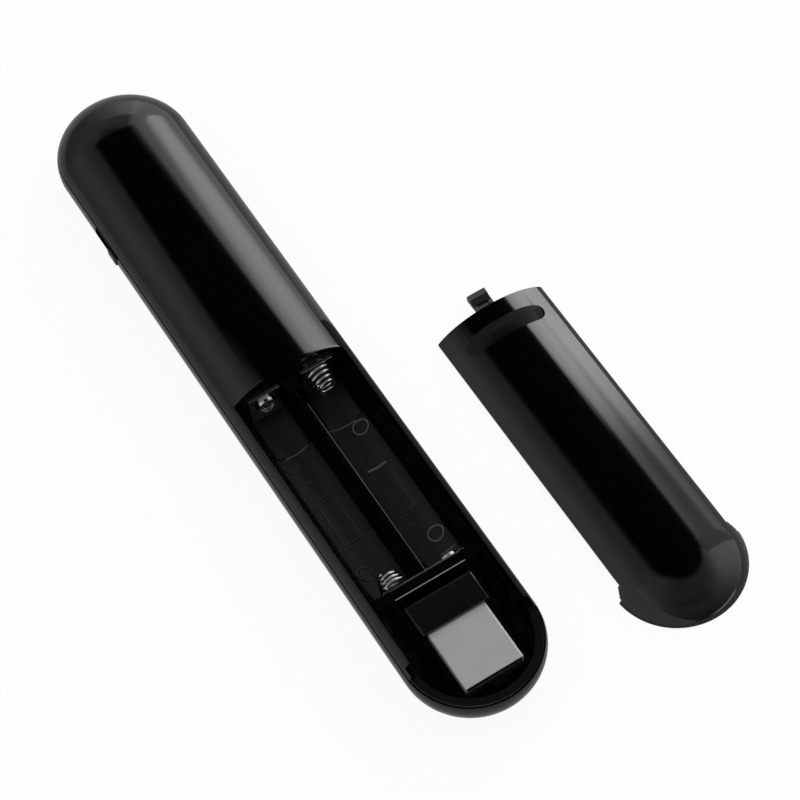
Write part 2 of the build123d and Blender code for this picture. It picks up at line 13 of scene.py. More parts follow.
import bmesh
import bpy
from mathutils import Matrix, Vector

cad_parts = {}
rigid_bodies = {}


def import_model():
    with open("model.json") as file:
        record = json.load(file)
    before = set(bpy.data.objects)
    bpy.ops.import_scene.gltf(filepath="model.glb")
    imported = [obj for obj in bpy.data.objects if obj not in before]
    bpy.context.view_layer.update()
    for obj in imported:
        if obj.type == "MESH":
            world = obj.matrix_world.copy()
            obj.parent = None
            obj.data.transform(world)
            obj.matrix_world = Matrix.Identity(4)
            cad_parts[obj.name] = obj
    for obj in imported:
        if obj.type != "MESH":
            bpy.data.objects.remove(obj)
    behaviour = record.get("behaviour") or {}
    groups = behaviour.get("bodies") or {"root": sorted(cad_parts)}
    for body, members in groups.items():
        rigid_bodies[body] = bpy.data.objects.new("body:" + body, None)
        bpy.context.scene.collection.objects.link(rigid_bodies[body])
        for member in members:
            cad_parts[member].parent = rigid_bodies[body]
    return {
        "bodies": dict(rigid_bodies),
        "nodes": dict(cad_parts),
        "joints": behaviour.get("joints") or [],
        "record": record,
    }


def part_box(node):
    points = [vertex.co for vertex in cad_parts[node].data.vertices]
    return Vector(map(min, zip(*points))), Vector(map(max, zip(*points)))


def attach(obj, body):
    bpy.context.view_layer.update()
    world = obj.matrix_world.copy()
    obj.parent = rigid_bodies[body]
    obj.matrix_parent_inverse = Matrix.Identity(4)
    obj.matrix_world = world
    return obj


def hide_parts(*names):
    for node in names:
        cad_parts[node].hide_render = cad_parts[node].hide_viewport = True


log = logging.getLogger("presenter")

MM = 0.001
FAR = 200.0  # mm, beyond every piece
NEAR_ZERO = 1e-5
TIGHT = 0.0005  # mm, doubles of a solid made here
FINE = 0.001  # mm, doubles after several cuts
COARSE = 0.002  # mm, doubles of a CAD node
PLASTIC_IOR = 1.5
BLACK = ZEROS = (0.0, 0.0, 0.0)
WHITE = ONES = (1.0, 1.0, 1.0)
Point = tuple[float, float, float]
Colour = tuple[float, float, float]
Stops = Sequence[tuple[float, float]]
Object = bpy.types.Object


class Solver(Enum):
    """Ways in which one solid works on another."""

    CUT = "DIFFERENCE"
    ADD = "UNION"
    KEEP = "INTERSECT"


# ---- shader maths ---------------------------------------------------------------------


def _operator(operation: str, swapped: bool = False) -> Callable[[Port, Value], Port]:
    """Makes the method of a port that adds one Math node.

    Args:
        operation: the node's operation.
        swapped: whether the other value comes first.

    Returns:
        The method.
    """

    def method(self: Port, other: Value) -> Port:
        """Works on the port and the other value."""
        first, second = (other, self) if swapped else (self, other)
        return self.recipe.add("ShaderNodeMath", {"operation": operation}, {0: first, 1: second})

    return method


class Port:
    """One output of a node; arithmetic on it adds Math nodes to its recipe."""

    __add__ = __radd__ = _operator("ADD")
    __sub__ = _operator("SUBTRACT")
    __rsub__ = _operator("SUBTRACT", swapped=True)
    __mul__ = __rmul__ = _operator("MULTIPLY")
    __truediv__ = _operator("DIVIDE")
    __pow__ = _operator("POWER")
    over = _operator("GREATER_THAN")
    at_least = _operator("MAXIMUM")
    at_most = _operator("MINIMUM")

    def __init__(self, recipe: Recipe, socket: bpy.types.NodeSocket) -> None:
        """Keeps the recipe that the socket belongs to.

        Args:
            recipe: the recipe whose nodes hold the socket.
            socket: the output that is wrapped.
        """
        self.recipe = recipe
        self.socket = socket

    def size(self) -> Port:
        """Returns this without its sign."""
        return self.recipe.add("ShaderNodeMath", {"operation": "ABSOLUTE"}, {0: self})

    def rise(self, start: float, end: float) -> Port:
        """Steps smoothly from 0 to 1.

        Args:
            start: where it leaves 0.
            end: where it reaches 1; it may be the lower of the two.

        Returns:
            The step.
        """
        low, high = min(start, end), max(start, end)
        foot, head = (1.0, 0.0) if end < start else (0.0, 1.0)
        values = {"Value": self, "From Min": low, "From Max": high, "To Min": foot, "To Max": head}
        return self.recipe.add("ShaderNodeMapRange", {"interpolation_type": "SMOOTHSTEP"}, values)


Value = float | int | Colour | Port
Sockets = dict[str | int, Value]


class Recipe:
    """Node tree of one material or of the room."""

    def __init__(self, name: str, room: bool = False) -> None:
        """Starts an empty tree.

        Args:
            name: the name of what it belongs to.
            room: whether it is the room's and not a material's.
        """
        kind = "World" if room else "Material"
        self.material = (bpy.data.worlds if room else bpy.data.materials).new(name)
        self.material.use_nodes = True
        self.tree = self.material.node_tree
        self.tree.nodes.clear()
        self.end = self.tree.nodes.new(f"ShaderNodeOutput{kind}")

    def make(self, kind: str, settings: dict[str, object], values: Sockets) -> bpy.types.Node:
        """Adds a node, sets it and fills its sockets.

        Args:
            kind: the node's type.
            settings: its own settings, set before its sockets; "stops" are a ramp's stops.
            values: socket name or number to a value or a link.

        Returns:
            The node.
        """
        node = self.tree.nodes.new(kind)
        for key, setting in settings.items():
            if key == "stops":
                self._stops(node, setting)
            else:
                setattr(node, key, setting)
        for key, value in values.items():
            socket = node.inputs[key]
            if isinstance(value, Port):
                self.tree.links.new(value.socket, socket)
            elif isinstance(value, tuple) and socket.type == "RGBA":
                socket.default_value = (*value[:3], 1.0)
            else:
                socket.default_value = value
        return node

    @staticmethod
    def _stops(node: bpy.types.Node, stops: Stops) -> None:
        """Gives a grey ramp its stops.

        Args:
            node: the ramp's node.
            stops: pairs of place and grey level.
        """
        ramp = node.color_ramp
        while len(ramp.elements) < len(stops):
            ramp.elements.new(0.5)
        for element, (place, grey) in zip(ramp.elements, stops):
            element.position = place
            element.color = (grey, grey, grey, 1.0)

    def add(
        self, kind: str, settings: dict[str, object], values: Sockets, output: str | int = 0
    ) -> Port:
        """Adds a node and gives one of its outputs.

        Args:
            kind: the node's type.
            settings: its own settings.
            values: its sockets' values or links.
            output: which output to give.

        Returns:
            That output.
        """
        return Port(self, self.make(kind, settings, values).outputs[output])

    def close(self, shade: Port) -> bpy.types.Material:
        """Closes the tree with a shader.

        Args:
            shade: the shader.

        Returns:
            The finished material or world.
        """
        self.tree.links.new(shade.socket, self.end.inputs["Surface"])
        return self.material

    def surface(self, values: Sockets) -> bpy.types.Material:
        """Closes the tree with a Principled surface.

        Args:
            values: the shader's sockets.

        Returns:
            The finished material.
        """
        return self.close(self.add("ShaderNodeBsdfPrincipled", {}, values))

    def place(self, scale: Point = ONES, turn: Point = ZEROS) -> Port:
        """Gives the object's own coordinates in metres, scaled and turned.

        Args:
            scale: factors along the three axes.
            turn: angles in radians.

        Returns:
            The coordinates.
        """
        coords = self.add("ShaderNodeTexCoord", {}, {}, "Object")
        values = {"Vector": coords, "Scale": scale, "Rotation": turn}
        return self.add("ShaderNodeMapping", {}, values)

    def axes(self, vector: Port) -> list[Port]:
        """Splits a vector.

        Args:
            vector: the vector.

        Returns:
            Its three parts.
        """
        split = self.make("ShaderNodeSeparateXYZ", {}, {"Vector": vector})
        return [Port(self, output) for output in split.outputs]

    def noise(self, vector: Port, scale: float, detail: float = 2.0, roughness: float = 0.5) -> Port:
        """Gives cloudy noise from 0 to 1.

        Args:
            vector: where it is read.
            scale: its frequency.
            detail: its octaves.
            roughness: how much the finer octaves count.

        Returns:
            The noise.
        """
        values = {"Vector": vector, "Scale": scale, "Detail": detail, "Roughness": roughness}
        return self.add("ShaderNodeTexNoise", {}, values, "Fac")

    def specks(self, vector: Port, scale: float, size: float) -> Port:
        """Gives small round specks: 1 inside, 0 outside, soft at the rim.

        Args:
            vector: where they are read.
            scale: how many there are along a metre.
            size: their radius as a share of their spacing.

        Returns:
            The mask.
        """
        values = {"Vector": vector, "Scale": scale}
        distance = self.add("ShaderNodeTexVoronoi", {}, values, "Distance")
        return self.ramp(distance, [(0.0, 1.0), (size, 0.0)])

    def ramp(self, factor: Port, stops: Stops) -> Port:
        """Maps a value through grey stops.

        Args:
            factor: the value.
            stops: pairs of place and grey level.

        Returns:
            The mapped value.
        """
        return self.add("ShaderNodeValToRGB", {"stops": stops}, {"Fac": factor}, "Color")

    def blend(self, factor: Value, first: Value, second: Value) -> Port:
        """Mixes two colours.

        Args:
            factor: 0 for the first, 1 for the second.
            first: the first colour.
            second: the second colour.

        Returns:
            The mixed colour.
        """
        values = {0: factor, 6: first, 7: second}
        return self.add("ShaderNodeMix", {"data_type": "RGBA"}, values, 2)

    def bump(self, height: Port, strength: float, depth: float) -> Port:
        """Turns a height into a normal.

        Args:
            height: the height from 0 to 1.
            strength: how much of it shows.
            depth: the height's real size in metres.

        Returns:
            The normal.
        """
        values = {"Height": height, "Strength": strength, "Distance": depth}
        return self.add("ShaderNodeBump", {}, values)


# ---- finishes -------------------------------------------------------------------------


@dataclass(frozen=True)
class Finish:
    """Finish with two base colours; each kind lays its own layers."""

    name: str
    base: Colour
    tint: Colour

    def material(self) -> bpy.types.Material:
        """Returns the finished material."""
        r = Recipe(self.name)
        return r.surface(self.layers(r))

    def layers(self, r: Recipe) -> Sockets:
        """Lays the layers.

        Args:
            r: the recipe that they go into.

        Returns:
            The values of the shader's sockets.
        """
        raise NotImplementedError

    @staticmethod
    def plastic(colour: Port, rough: Port, normal: Port) -> Sockets:
        """Names the sockets of an opaque plastic.

        Args:
            colour: its colour.
            rough: its roughness.
            normal: its normal.

        Returns:
            The values of the shader's sockets.
        """
        return {"Base Color": colour, "Roughness": rough, "Normal": normal, "IOR": PLASTIC_IOR}


@dataclass(frozen=True)
class GlossPlastic(Finish):
    """Polished plastic with a thin haze, fine dust and hairlines, and a matt joint face."""

    rough: float = 0.05
    haze: float = 0.05
    dust: float = 0.012
    dust_rough: float = 0.3
    dust_colour: Colour = (0.35, 0.35, 0.36)
    wave: float = 0.02
    joint: tuple[float, float] = (0.01012, 0.01028)
    joint_colour: Colour = (0.0036, 0.0036, 0.0028)
    joint_rough: float = 0.22

    def layers(self, r: Recipe) -> Sockets:
        """Lays haze, hairlines and dust; the flat joint between its two heights stays matt."""
        place = r.place()
        height = r.axes(place)[2]
        low, high = self.joint
        joint = height.over(low) * (1.0 - height.over(high))
        haze = r.noise(place, 55.0, 3.0, 0.6)
        streak = r.noise(r.place((9.0, 0.8, 9.0), (0.0, 0.0, 0.5)), 160.0, 2.0)
        specks = r.specks(place, 900.0, 0.045) * r.noise(place, 120.0).over(0.56)
        half_haze = self.haze * 0.5
        rough = self.rough + haze * half_haze + r.ramp(streak, [(0.55, 0.0), (0.8, 1.0)]) * half_haze
        rough = (rough + specks * self.dust_rough) * (1.0 - joint) + joint * self.joint_rough
        colour = r.blend(specks * self.dust, r.blend(haze, self.base, self.tint), self.dust_colour)
        colour = r.blend(joint, colour, self.joint_colour)
        return self.plastic(colour, rough, r.bump(r.noise(place, 40.0, 1.0), self.wave, 0.0002))


@dataclass(frozen=True)
class MouldedPlastic(Finish):
    """Moulded plastic: fine spark-eroded grain, soft colour clouds and rubbed patches."""

    rough: float = 0.42
    spread: float = 0.14
    grain: float = 0.25
    grain_scale: float = 2600.0
    grain_depth: float = 0.00004

    def layers(self, r: Recipe) -> Sockets:
        """Lays clouds, grain and rubbed patches."""
        place = r.place()
        clouds = r.noise(place, 90.0, 3.0, 0.55)
        grain = r.noise(place, self.grain_scale, 2.0, 0.6)
        rubbed = r.ramp(r.noise(place, 210.0, 2.0), [(0.58, 0.0), (0.75, 1.0)])
        colour = r.blend(clouds, self.base, self.tint)
        rough = self.rough + (clouds - 0.5) * self.spread - rubbed * self.spread * 0.6
        return self.plastic(colour, rough, r.bump(grain, self.grain, self.grain_depth))


@dataclass(frozen=True)
class LatchPlastic(Finish):
    """Latch plastic: grey hook and neck, with painted shade darkening the hollow between them."""

    base: Colour = (0.040, 0.040, 0.037)
    tint: Colour = (0.060, 0.060, 0.056)
    # colour of the painted shade in the tab's hollow
    hollow: Colour = (0.0030, 0.0030, 0.0024)
    hook: float = -0.00030
    hook_fade: float = 0.00012
    neck: float = -0.00190
    neck_fade: float = 0.00015
    rough: float = 0.40
    grain_depth: float = 0.00004

    def layers(self, r: Recipe) -> Sockets:
        """Lays clouds and grain, with painted shade between the hook and the neck where the hollow lies."""
        place = r.place()
        along = r.axes(place)[1]
        # painted shade: the band between hook and neck is darkened to stand for the shade in the tab's recess
        hollow_shade = along.rise(self.hook + self.hook_fade, self.hook - self.hook_fade)
        hollow_shade = hollow_shade * along.rise(self.neck - self.neck_fade, self.neck + self.neck_fade)
        clouds = r.noise(place, 700.0, 3.0, 0.6)
        grain = r.noise(place, 2800.0, 2.0, 0.6)
        tab_tone = r.blend(clouds, self.base, self.tint)
        colour = r.blend(hollow_shade * (0.85 + clouds * 0.2), tab_tone, self.hollow)
        rough = self.rough + (clouds - 0.5) * 0.1 - hollow_shade * 0.1
        return self.plastic(colour, rough, r.bump(grain, 0.25, self.grain_depth))


@dataclass(frozen=True)
class TrayPlastic(Finish):
    """Tray plastic: polished walls and tops, spark-eroded floors in troughs and pocket."""

    # painted reflection tint: the blue in this first colour stands in for the bluish glints on the walls
    base: Colour = (0.0013, 0.0013, 0.0024)
    tint: Colour = (0.0064, 0.0060, 0.0051)
    rough: float = 0.13
    floor_rough: float = 0.55
    floor_low: float = 0.00420
    floor_high: float = 0.00490
    grain_depth: float = 0.00005

    def layers(self, r: Recipe) -> Sockets:
        """Lays flow lines on the walls and grain on the floors, which have the second colour."""
        place = r.place()
        floor = r.axes(place)[2].rise(self.floor_high, self.floor_low)
        clouds = r.noise(place, 130.0, 3.0, 0.6)
        grain = r.noise(place, 2800.0, 2.0, 0.65)
        flow = r.noise(r.place((1.0, 0.3, 1.0)), 420.0, 2.0, 0.5)
        colour = r.blend(floor * (0.6 + clouds * 0.6), self.base, self.tint)
        rough = self.rough + (clouds - 0.4) * 0.08 + floor * (self.floor_rough - self.rough)
        return self.plastic(colour, rough, r.bump(grain * floor + flow * 0.5, 0.35, self.grain_depth))


@dataclass(frozen=True)
class BrushedMetal(Finish):
    """Rolled or plated metal: fine lines along one axis and tarnish clouds."""

    rough: float = 0.25
    line: float = 0.12
    along: Point = (1.0, 0.05, 1.0)
    grain: float = 0.08
    metallic: float = 1.0

    def layers(self, r: Recipe) -> Sockets:
        """Lays fine lines over clouds of tarnish."""
        lines = r.noise(r.place(self.along), 3200.0, 2.0, 0.7)
        clouds = r.noise(r.place(), 260.0, 3.0, 0.6)
        return {
            "Base Color": r.blend(clouds, self.base, self.tint),
            "Roughness": self.rough + (lines - 0.5) * self.line + (clouds - 0.5) * self.line,
            "Metallic": self.metallic,
            "Normal": r.bump(lines, self.grain, 0.00002),
        }


@dataclass(frozen=True)
class BoardLacquer(Finish):
    """Green solder resist with a woven glass grain and copper runs under it."""

    base: Colour = (0.006, 0.05, 0.02)
    tint: Colour = (0.012, 0.11, 0.035)

    def layers(self, r: Recipe) -> Sockets:
        """Lays the copper runs and the weave."""
        bricks = {"Vector": r.place(), "Scale": 420.0, "Mortar Size": 0.012}
        runs = r.add("ShaderNodeTexBrick", {}, bricks, "Fac")
        weave = r.noise(r.place((1.0, 1.0, 0.2)), 1500.0, 1.0)
        return {
            "Base Color": r.blend(runs, self.base, self.tint),
            "Roughness": 0.3 + weave * 0.12,
            "Normal": r.bump(runs * 0.7 + weave * 0.3, 0.3, 0.00004),
        }


@dataclass(frozen=True)
class ClearPlastic(Finish):
    """Clear or smoked window plastic with faint moulding swirls."""

    rough: float = 0.04
    clear: float = 0.85

    def layers(self, r: Recipe) -> Sockets:
        """Lays the swirls."""
        swirl = r.noise(r.place(), 500.0, 2.0)
        return {
            "Base Color": r.blend(swirl, self.base, self.tint),
            "Roughness": self.rough + swirl * 0.04,
            "Transmission Weight": self.clear,
            "Normal": r.bump(swirl, 0.05, 0.00005),
            "IOR": 1.49,
        }


ALL_FINISHES = (
    GlossPlastic("gloss_black", (0.0006, 0.0006, 0.0007), (0.0012, 0.0012, 0.0014)),
    TrayPlastic("tray_black"),
    # painted highlights: the next three light greys stand in for the glints on the trough marks and along the
    # tray's edges
    MouldedPlastic("faint_mark", (0.008, 0.0078, 0.007), (0.014, 0.0135, 0.012), 0.4, 0.06, 0.2),
    MouldedPlastic("clear_mark", (0.045, 0.044, 0.041), (0.085, 0.083, 0.078), 0.3, 0.06, 0.3),
    MouldedPlastic("painted_glint_bead", (0.16, 0.16, 0.155), (0.28, 0.28, 0.27), 0.25, 0.06, 0.2),
    LatchPlastic("latch_grey"),
    MouldedPlastic("receiver_black", (0.0024, 0.0028, 0.0025), (0.0036, 0.0041, 0.0037), 0.2, 0.06, 0.2),
    BrushedMetal(
        "plug_steel", (0.47, 0.47, 0.455), (0.53, 0.53, 0.515), 0.42, 0.08, (1.0, 0.08, 1.0), 0.05, 0.55
    ),
    MouldedPlastic("tongue_black", (0.012, 0.012, 0.012), (0.02, 0.02, 0.02), 0.5),
    BrushedMetal("gold_pads", (0.80, 0.55, 0.20), (0.90, 0.66, 0.28), 0.2),
    BrushedMetal("nickel_contact", (0.52, 0.50, 0.48), (0.62, 0.60, 0.58), 0.10, 0.06, ONES, 0.05),
    BoardLacquer("board_green"),
    MouldedPlastic("chip_black", (0.012, 0.012, 0.013), (0.018, 0.018, 0.02), 0.5),
    BrushedMetal("can_steel", (0.62, 0.62, 0.60), (0.70, 0.70, 0.68), 0.25),
    BrushedMetal("laser_brass", (0.68, 0.46, 0.16), (0.78, 0.56, 0.24), 0.22),
    ClearPlastic("laser_window", (0.5, 0.03, 0.03), (0.425, 0.0255, 0.0255)),
    ClearPlastic("light_pipe", (0.75, 0.78, 0.75), (0.6375, 0.663, 0.6375), 0.12, 0.7),
    MouldedPlastic("light_chip", (0.75, 0.72, 0.55), (0.85, 0.82, 0.66), 0.35, 0.05),
    MouldedPlastic("switch_body", (0.02, 0.02, 0.022), (0.035, 0.035, 0.038), 0.45),
    MouldedPlastic("switch_knob", (0.004, 0.004, 0.0045), (0.007, 0.007, 0.008), 0.3),
    MouldedPlastic("plunger_grey", (0.20, 0.20, 0.21), (0.27, 0.27, 0.28), 0.5),
    MouldedPlastic("button_grey", (0.035, 0.037, 0.040), (0.055, 0.057, 0.060), 0.55, 0.08, 0.4),
)


class Stock:
    """What every maker draws on: the CAD nodes, their slots and bodies, and the finishes."""

    def __init__(self, frame: dict) -> None:
        """Reads the record and makes every material once.
        """
        record = frame["record"]
        bodies = record["behaviour"]["bodies"]
        self.nodes: dict[str, Object] = frame["nodes"]
        self.slots = {row["node"]: row["material_slot"] for row in record["subparts"]}
        self.bodies = {node: body for body, nodes in bodies.items() for node in nodes}
        self.made = {finish.name: finish.material() for finish in ALL_FINISHES}

    def dress(self, obj: Object, slot: str, look: str = "") -> None:
        """Gives an object one finish all over.

        Args:
            obj: the object.
            slot: the record's slot name.
            look: the finish, if it isn't the slot's own.
        """
        obj.data.materials.clear()
        obj.data.materials.append(self.made[look or slot])

    def dress_nodes(self) -> None:
        """Gives every CAD node its finish."""
        for node, obj in self.nodes.items():
            self.dress(obj, self.slots[node])

    def hand_over(self, piece: Solid, slot: str, body: str, look: str = "", node: str = "") -> Object:
        """Dresses a finished piece and puts it on its body.

        Args:
            piece: the piece.
            slot: the record's slot name.
            body: the body that it rides on.
            look: its finish, if it isn't the slot's own.
            node: the CAD node that it stands for, if any.

        Returns:
            Its object.
        """
        self.dress(piece.obj, slot, look)
        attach(piece.obj, body)
        if node:
            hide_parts(node)
        return piece.obj


# ---- the modelling bench --------------------------------------------------------------


class Solid:
    """Mesh piece on the bench; its moves change it and give it back, and lengths are millimetres."""

    def __init__(self, obj: Object) -> None:
        """Takes a mesh object.

        Args:
            obj: the object.
        """
        self.obj = obj

    @staticmethod
    def clear() -> None:
        """Leaves edit mode and deselects everything."""
        if bpy.context.object is not None and bpy.context.object.mode != "OBJECT":
            bpy.ops.object.mode_set(mode="OBJECT")
        bpy.ops.object.select_all(action="DESELECT")

    @staticmethod
    def settle(name: str, scale: Sequence[float] = (1.0, 1.0, 1.0)) -> Solid:
        """Names the new primitive and applies its place, turn and size.

        Args:
            name: the piece's name.
            scale: its size along its own axes.

        Returns:
            The piece.
        """
        obj = bpy.context.active_object
        obj.name = name
        obj.data.name = name
        obj.scale = scale
        bpy.ops.object.transform_apply(location=True, rotation=True, scale=True)
        return Solid(obj)

    @staticmethod
    def box(name: str, low: Point, high: Point) -> Solid:
        """Adds a box between two corners.

        Args:
            name: the piece's name.
            low: its lowest corner.
            high: its highest corner.

        Returns:
            The box.
        """
        Solid.clear()
        middle = [(a + b) / 2 * MM for a, b in zip(low, high)]
        bpy.ops.mesh.primitive_cube_add(size=1.0, location=middle)
        return Solid.settle(name, [(b - a) * MM for a, b in zip(low, high)])

    @staticmethod
    def rod(name: str, start: Point, end: Point, radius: float, sides: int) -> Solid:
        """Adds a cylinder between two points.

        Args:
            name: the piece's name.
            start: the middle of one end.
            end: the middle of the other end.
            radius: its radius.
            sides: its number of sides.

        Returns:
            The cylinder.
        """
        Solid.clear()
        axis = Vector(end) - Vector(start)
        middle = (Vector(start) + Vector(end)) / 2 * MM
        turn = axis.to_track_quat("Z", "Y").to_euler()
        bpy.ops.mesh.primitive_cylinder_add(
            vertices=sides, radius=radius * MM, depth=axis.length * MM, location=middle, rotation=turn
        )
        return Solid.settle(name)

    @staticmethod
    def copy(obj: Object, name: str) -> Solid:
        """Copies an object with its own mesh.

        Args:
            obj: the object.
            name: the copy's name.

        Returns:
            The copy.
        """
        twin = bpy.data.objects.new(name, obj.data.copy())
        twin.data.name = name
        bpy.context.scene.collection.objects.link(twin)
        return Solid(twin)

    @staticmethod
    def join(name: str, pieces: Sequence[Solid]) -> Solid:
        """Makes several meshes one piece.

        Args:
            name: the new piece's name.
            pieces: the meshes.

        Returns:
            The piece.
        """
        first = pieces[0].pick()
        for piece in pieces:
            piece.obj.select_set(True)
        bpy.ops.object.join()
        first.obj.name = name
        first.obj.data.name = name
        return first

    def pick(self) -> Solid:
        """Selects the piece alone, makes it active and returns it."""
        Solid.clear()
        self.obj.select_set(True)
        bpy.context.view_layer.objects.active = self.obj
        return self

    @contextmanager
    def editing(self) -> Iterator[None]:
        """Opens the piece alone in edit mode with its whole mesh selected, and closes it again."""
        self.pick()
        bpy.ops.object.mode_set(mode="EDIT")
        bpy.ops.mesh.select_all(action="SELECT")
        yield
        bpy.ops.object.mode_set(mode="OBJECT")

    def choose(self, test: Callable[[Vector], bool]) -> None:
        """Selects the vertices in edit mode that pass a test.

        Args:
            test: tells whether a place counts.
        """
        bpy.ops.mesh.select_mode(type="VERT")
        bpy.ops.mesh.select_all(action="DESELECT")
        mesh = bmesh.from_edit_mesh(self.obj.data)
        for vertex in mesh.verts:
            if test(vertex.co):
                vertex.select_set(True)
        mesh.select_flush_mode()
        bmesh.update_edit_mesh(self.obj.data)

    def merge(self, distance: float = COARSE) -> Solid:
        """Merges doubles and turns all faces outwards.

        Args:
            distance: how close doubles are.

        Returns:
            The piece.
        """
        with self.editing():
            bpy.ops.mesh.remove_doubles(threshold=distance * MM)
            bpy.ops.mesh.normals_make_consistent(inside=False)
        return self

    def flatten(self, degrees: float) -> Solid:
        """Joins faces that lie in one plane within an angle.

        Args:
            degrees: the greatest angle between them.

        Returns:
            The piece.
        """
        with self.editing():
            bpy.ops.mesh.dissolve_limited(angle_limit=math.radians(degrees))
        return self

    def slice(self, through: Point, normal: Point) -> Solid:
        """Cuts a closed piece by a plane and closes it again.

        Args:
            through: a point of the plane.
            normal: the plane's normal; what lies on its side stays.

        Returns:
            The piece.
        """
        with self.editing():
            bpy.ops.mesh.bisect(
                plane_co=[value * MM for value in through], plane_no=normal, use_fill=True, clear_inner=True
            )
        return self.merge(TIGHT)

    def turn(self, angle: float, centre: Point) -> Solid:
        """Turns the whole mesh about the X direction through a point.

        Args:
            angle: the turn in radians, right-handed.
            centre: the point.

        Returns:
            The piece.
        """
        about = [value * MM for value in centre]
        with self.editing():
            bpy.ops.transform.rotate(
                value=-angle, orient_axis="X", orient_type="GLOBAL", center_override=about
            )
        return self

    def shift(self, way: Sequence[float]) -> Solid:
        """Moves the whole mesh.

        Args:
            way: the move.

        Returns:
            The piece.
        """
        with self.editing():
            bpy.ops.transform.translate(value=[value * MM for value in way])
        return self

    def change(self, kind: str, **settings: object) -> Solid:
        """Applies one modifier.

        Args:
            kind: its type.
            settings: its settings.

        Returns:
            The piece.
        """
        self.pick()
        modifier = self.obj.modifiers.new(kind, kind)
        for key, setting in settings.items():
            setattr(modifier, key, setting)
        bpy.ops.object.modifier_apply(modifier=modifier.name)
        return self

    def work(self, tool: Solid, solver: Solver = Solver.CUT) -> Solid:
        """Cuts, adds or keeps with another solid, which is used up.

        Args:
            tool: the other solid.
            solver: what it does.

        Returns:
            The piece.
        """
        self.change("BOOLEAN", object=tool.obj, operation=solver.value, solver="EXACT", use_self=False)
        bpy.data.objects.remove(tool.obj, do_unlink=True)
        return self

    def cut_boxes(self, boxes: Sequence[tuple[Point, Point]]) -> Solid:
        """Cuts boxes away, one after another.

        Args:
            boxes: their lowest and highest corners.

        Returns:
            The piece.
        """
        for low, high in boxes:
            self.work(Solid.box("cutter", low, high))
        return self

    def soften(self, width: float, segments: int = 2, degrees: float = 35.0) -> Solid:
        """Rounds the piece's edges.

        Args:
            width: the rounding.
            segments: its steps.
            degrees: the least angle of an edge that is rounded.

        Returns:
            The piece.
        """
        return self.change(
            "BEVEL",
            width=width * MM,
            segments=segments,
            limit_method="ANGLE",
            angle_limit=math.radians(degrees),
            use_clamp_overlap=True,
            miter_outer="MITER_ARC",
        )

    def smooth(self, degrees: float = 32.0) -> Solid:
        """Shades smooth up to an angle.

        Args:
            degrees: the greatest angle that stays smooth.

        Returns:
            The piece.
        """
        self.pick()
        bpy.ops.object.shade_smooth_by_angle(angle=math.radians(degrees))
        return self

    def even(self) -> Solid:
        """Weighs the shading by face area, so that large faces stay true beside rounded edges."""
        return self.change("WEIGHTED_NORMAL", keep_sharp=True)


# ---- sub-assemblies -------------------------------------------------------------------


@dataclass
class BarForm:
    """Domed bar with revolved round ends, the shape of the whole housing. Millimetres."""

    half_width: float = 13.6
    half_length: float = 76.8
    height: float = 16.4
    widest: float = 8.2
    flat_half: float = 4.1
    facets: int = 22
    spin_steps: int = 72
    slack: float = 1e-3

    def solid(self, name: str, inset: float) -> Solid:
        """Makes the bar as a closed solid, moved inwards by the inset.

        Args:
            name: the piece's name.
            inset: how far inside the outer skin it lies.

        Returns:
            The solid.
        """
        side = self.half_width - inset
        rise = self.height - inset - self.widest
        fall = self.widest - inset
        run = side - self.flat_half
        Solid.clear()
        upright = (math.pi / 2, 0.0, 0.0)
        bpy.ops.mesh.primitive_circle_add(vertices=4 * self.facets, radius=1.0, rotation=upright)
        bar = Solid.settle(name)
        with bar.editing():
            bar.choose(lambda v: v.x < -NEAR_ZERO)
            bpy.ops.mesh.delete(type="VERT")
            bar.choose(lambda v: v.z > -NEAR_ZERO)
            bpy.ops.transform.resize(value=(side * MM, 1.0, rise * MM), center_override=ZEROS)
            bpy.ops.transform.translate(value=(0.0, 0.0, self.widest * MM))
            bar.choose(lambda v: v.z < -NEAR_ZERO)
            bpy.ops.transform.resize(value=(run * MM, 1.0, fall * MM), center_override=ZEROS)
            bpy.ops.transform.translate(value=(self.flat_half * MM, 0.0, self.widest * MM))
            edge, foot = (self.flat_half + self.slack) * MM, (inset + self.slack) * MM
            bar.choose(lambda v: v.x < edge and v.z < foot)
            self._extrude((-self.flat_half * MM, 0.0, 0.0))
            bpy.ops.mesh.select_all(action="SELECT")
            bpy.ops.mesh.spin(steps=self.spin_steps, angle=math.pi, center=ZEROS, axis=(0.0, 0.0, 1.0))
            bpy.ops.mesh.select_all(action="SELECT")
            bpy.ops.mesh.remove_doubles(threshold=self.slack * MM)
            mesh = bmesh.from_edit_mesh(bar.obj.data)
            end = math.copysign(
                (self.half_length - self.half_width) * MM, sum(vertex.co.y for vertex in mesh.verts)
            )
            bpy.ops.mesh.select_all(action="SELECT")
            bpy.ops.transform.translate(value=(0.0, end, 0.0))
            bar.choose(lambda v: abs(v.y - end) < self.slack * MM)
            self._extrude((0.0, -end, 0.0))
        bar.change("MIRROR", use_axis=(False, True, False), merge_threshold=self.slack * MM)
        return bar.merge(TIGHT)

    @staticmethod
    def _extrude(way: Point) -> None:
        """Draws out what is selected.

        Args:
            way: how far, in metres.
        """
        bpy.ops.mesh.extrude_region_move(TRANSFORM_OT_translate={"value": way})


